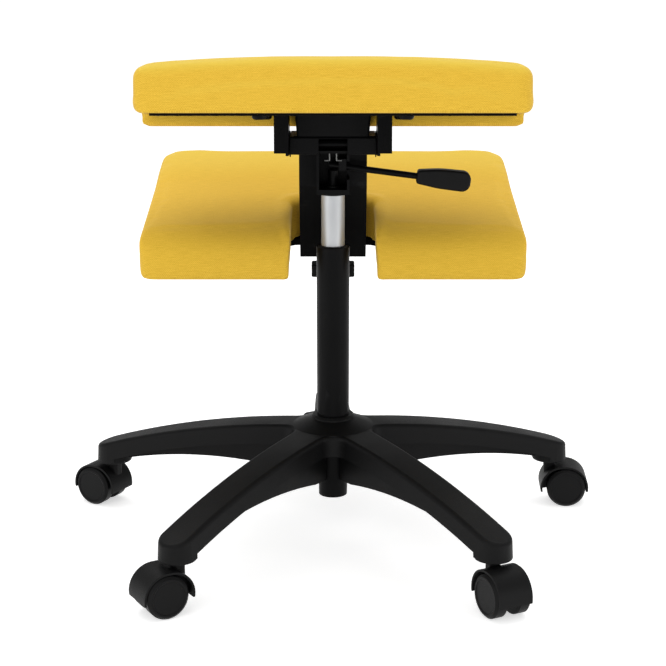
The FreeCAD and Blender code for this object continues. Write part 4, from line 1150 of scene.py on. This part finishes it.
@dataclass
class WeldBead:
    """A rippled weld along a straight seam of the carriage."""

    name: str
    start: tuple
    end: tuple
    radius: float = 0.0016
    ripple: float = 0.0022
    swell: float = 1.28
    sides: int = 10

    def build(self, finish: bpy.types.Material) -> bpy.types.Object:
        """Model the bead as a bar with swollen rings and lay it on its seam.

        Args:
            finish: The coat over the weld.

        Returns:
            The finished bead.
        """
        run = Vector(self.end) - Vector(self.start)
        rings = max(6, round(run.length / self.ripple))
        pick_none()
        bpy.ops.mesh.primitive_cylinder_add(vertices=self.sides, radius=self.radius, depth=self.ripple)
        piece = bpy.context.object
        bpy.ops.object.mode_set(mode="EDIT")
        for number in range(rings - 1):
            top = (number + 0.4) * self.ripple
            pick_faces(piece, lambda centre, normal, top=top: normal.z > 0.9 and centre.z > top)
            bpy.ops.mesh.extrude_region_move(TRANSFORM_OT_translate={"value": (0.0, 0.0, self.ripple)})
            size = self.swell if number % 2 == 0 else 1 / self.swell
            bpy.ops.transform.resize(value=(size, size, 1.0))
        bpy.ops.object.mode_set(mode="OBJECT")
        length = self.ripple * rings
        piece.data.transform(Matrix.Translation((0.0, 0.0, self.ripple / 2 - length / 2)))
        turn = run.to_track_quat("Z", "Y").to_matrix().to_4x4()
        middle = (Vector(self.start) + Vector(self.end)) / 2
        piece.data.transform(Matrix.Translation(middle) @ turn)
        round_off = piece.modifiers.new("round_off", "SUBSURF")
        round_off.levels = 1
        round_off.render_levels = 1
        apply_modifiers(piece)
        bpy.ops.object.shade_smooth()
        piece.name = self.name
        dress(piece, finish)
        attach(piece, Body.CARRIAGE.value)
        report(piece)
        return piece


class FrameFinisher:
    """Gives every solid of the chair its finish."""

    def __init__(self, finishes: Finishes) -> None:
        """Sort the solids by finish.

        Args:
            finishes: Every finish on the chair.
        """
        self.by_slot = {
            "yellow_fabric": finishes.fabric,
            "black_nylon": finishes.nylon,
            "wheel_nylon": finishes.wheel,
            "black_steel": finishes.steel,
            "chrome_tube": finishes.chrome,
            "bright_steel": finishes.zinc,
            "black_board": finishes.board,
            "black_rubber": finishes.rubber,
        }

    def dress_all(self) -> None:
        """Put each solid's finish on it."""
        for row in frame["record"]["subparts"]:
            solid = frame["nodes"][row["node"]]
            dress(solid, self.by_slot[row["material_slot"]])
            log.info("%s takes the finish %s", row["node"], row["material_slot"])


# Studio


@dataclass(frozen=True)
class Lamp:
    """A soft oblong lamp: its place, the point it faces, its width and height in metres, and its watts."""

    name: str
    place: tuple
    aim: tuple
    size: tuple
    power: float

    def hang(self) -> None:
        """Put the lamp in the scene."""
        data = bpy.data.lights.new(self.name, "AREA")
        data.shape = "RECTANGLE"
        data.size, data.size_y = self.size
        data.energy = self.power
        lamp = bpy.data.objects.new(self.name, data)
        bpy.context.scene.collection.objects.link(lamp)
        lamp.location = self.place
        lamp.rotation_euler = (Vector(self.aim) - Vector(self.place)).to_track_quat("-Z", "Y").to_euler()


LAMPS = (
    Lamp("key_lamp", (-0.9, -2.4, 2.3), (0.0, 0.0, 0.40), (1.8, 1.8), 15.0),
    Lamp("left_lamp", (-2.3, -1.4, 0.44), (0.0, 0.0, 0.46), (1.8, 0.8), 15.0),
    Lamp("right_lamp", (2.3, -1.4, 0.44), (0.0, 0.0, 0.46), (1.8, 0.8), 15.0),
    Lamp("low_lamp", (0.0, -2.3, 0.16), (0.0, 0.0, 0.50), (3.0, 0.24), 5.0),
    Lamp("top_lamp", (0.0, 0.7, 2.6), (0.0, 0.1, 0.3), (3.2, 3.2), 46.0),
)


@dataclass
class Studio:
    """White floor, soft lamps and the camera of the photograph."""

    camera_place: tuple = (0.0, -1.937, 0.770)
    camera_pitch: float = 75.09
    lens: float = 88.43
    sensor: float = 36.0
    floor_size: float = 60.0
    floor_tone: float = 0.86
    floor_glow: float = 0.56
    floor_roughness: float = 0.9
    sky: float = 0.60

    def floor(self) -> None:
        """Lay the pale floor, which the camera sees as white apart from shadows."""
        pick_none()
        bpy.ops.mesh.primitive_plane_add(size=self.floor_size, location=(0.0, 0.0, 0.0))
        floor = bpy.context.object
        floor.name = "studio_floor"
        shader = Shader("studio_floor")
        shader.plain(Roughness=self.floor_roughness, Specular_IOR_Level=0.0)
        tone = self.floor_tone
        shader.surface.inputs["Base Color"].default_value = (tone, tone, tone, 1.0)
        shader.surface.inputs["Emission Color"].default_value = (1.0, 1.0, 1.0, 1.0)
        path = shader.add("ShaderNodeLightPath")
        seen = shader.add("ShaderNodeMath", operation="MAXIMUM")
        shader.join(path.outputs["Is Camera Ray"], seen.inputs[0])
        shader.join(path.outputs["Is Glossy Ray"], seen.inputs[1])
        glow = shader.add("ShaderNodeMath", operation="MULTIPLY")
        shader.join(seen.outputs[0], glow.inputs[0])
        glow.inputs[1].default_value = self.floor_glow
        shader.join(glow.outputs[0], shader.surface.inputs["Emission Strength"])
        dress(floor, shader.material)

    def world(self) -> None:
        """Surround the chair with even white light, seen as white by camera and transmission rays."""
        world = bpy.data.worlds.new("studio_world")
        world.use_nodes = True
        bpy.context.scene.world = world
        nodes = world.node_tree.nodes
        links = world.node_tree.links
        sky = nodes["Background"]
        sky.inputs["Color"].default_value = (1.0, 1.0, 1.0, 1.0)
        path = nodes.new("ShaderNodeLightPath")
        seen = nodes.new("ShaderNodeMath")
        seen.operation = "MAXIMUM"
        links.new(path.outputs["Is Camera Ray"], seen.inputs[0])
        links.new(path.outputs["Is Transmission Ray"], seen.inputs[1])
        level = nodes.new("ShaderNodeMapRange")
        links.new(seen.outputs[0], level.inputs["Value"])
        level.inputs["To Min"].default_value = self.sky
        level.inputs["To Max"].default_value = 1.0
        links.new(level.outputs["Result"], sky.inputs["Strength"])

    def camera(self) -> None:
        """Set the camera where the photograph was taken from."""
        data = bpy.data.cameras.new("photo_camera")
        data.lens = self.lens
        data.sensor_width = self.sensor
        camera = bpy.data.objects.new("photo_camera", data)
        bpy.context.scene.collection.objects.link(camera)
        camera.location = self.camera_place
        camera.rotation_euler = (math.radians(self.camera_pitch), 0.0, 0.0)
        bpy.context.scene.camera = camera

    def build(self) -> None:
        """Set up the whole studio."""
        self.floor()
        self.world()
        for lamp in LAMPS:
            lamp.hang()
        self.camera()
        bpy.context.scene.view_settings.view_transform = "Standard"


def main() -> None:
    """Dress the chair, add its soft and small pieces, and light it."""
    logging.basicConfig(level=logging.INFO, format="%(message)s")
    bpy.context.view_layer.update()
    finishes = make_finishes()
    FrameFinisher(finishes).dress_all()
    PaddedCover("seat_cover", "seat_cushion", Body.SEAT, SEAT_BOARD, SeatEdges(),
                pinned_below=0.014).build(finishes.fabric)
    PaddedCover("knee_cover", "knee_cushion", Body.KNEE_REST, KNEE_BOARD, KneeEdges(),
                pinned_below=0.010).build(finishes.fabric)
    LiningStaples("seat_staples", Body.SEAT, SEAT_BOARD, SEAT_STAPLE_CORNERS).build(finishes.steel)
    LiningStaples("knee_staples", Body.KNEE_REST, KNEE_BOARD, KNEE_STAPLE_CORNERS).build(finishes.steel)
    BracketBolts().build(finishes.steel)
    for side, name in ((-1, "left"), (1, "right")):
        start = (side * WELD_SIDE, WELD_BEHIND, WELD_HEIGHT)
        end = (side * WELD_SIDE, WELD_AHEAD, WELD_HEIGHT)
        WeldBead(f"housing_weld_{name}", start, end).build(finishes.steel)
    Studio().build()


if __name__ == "__main__":
    main()
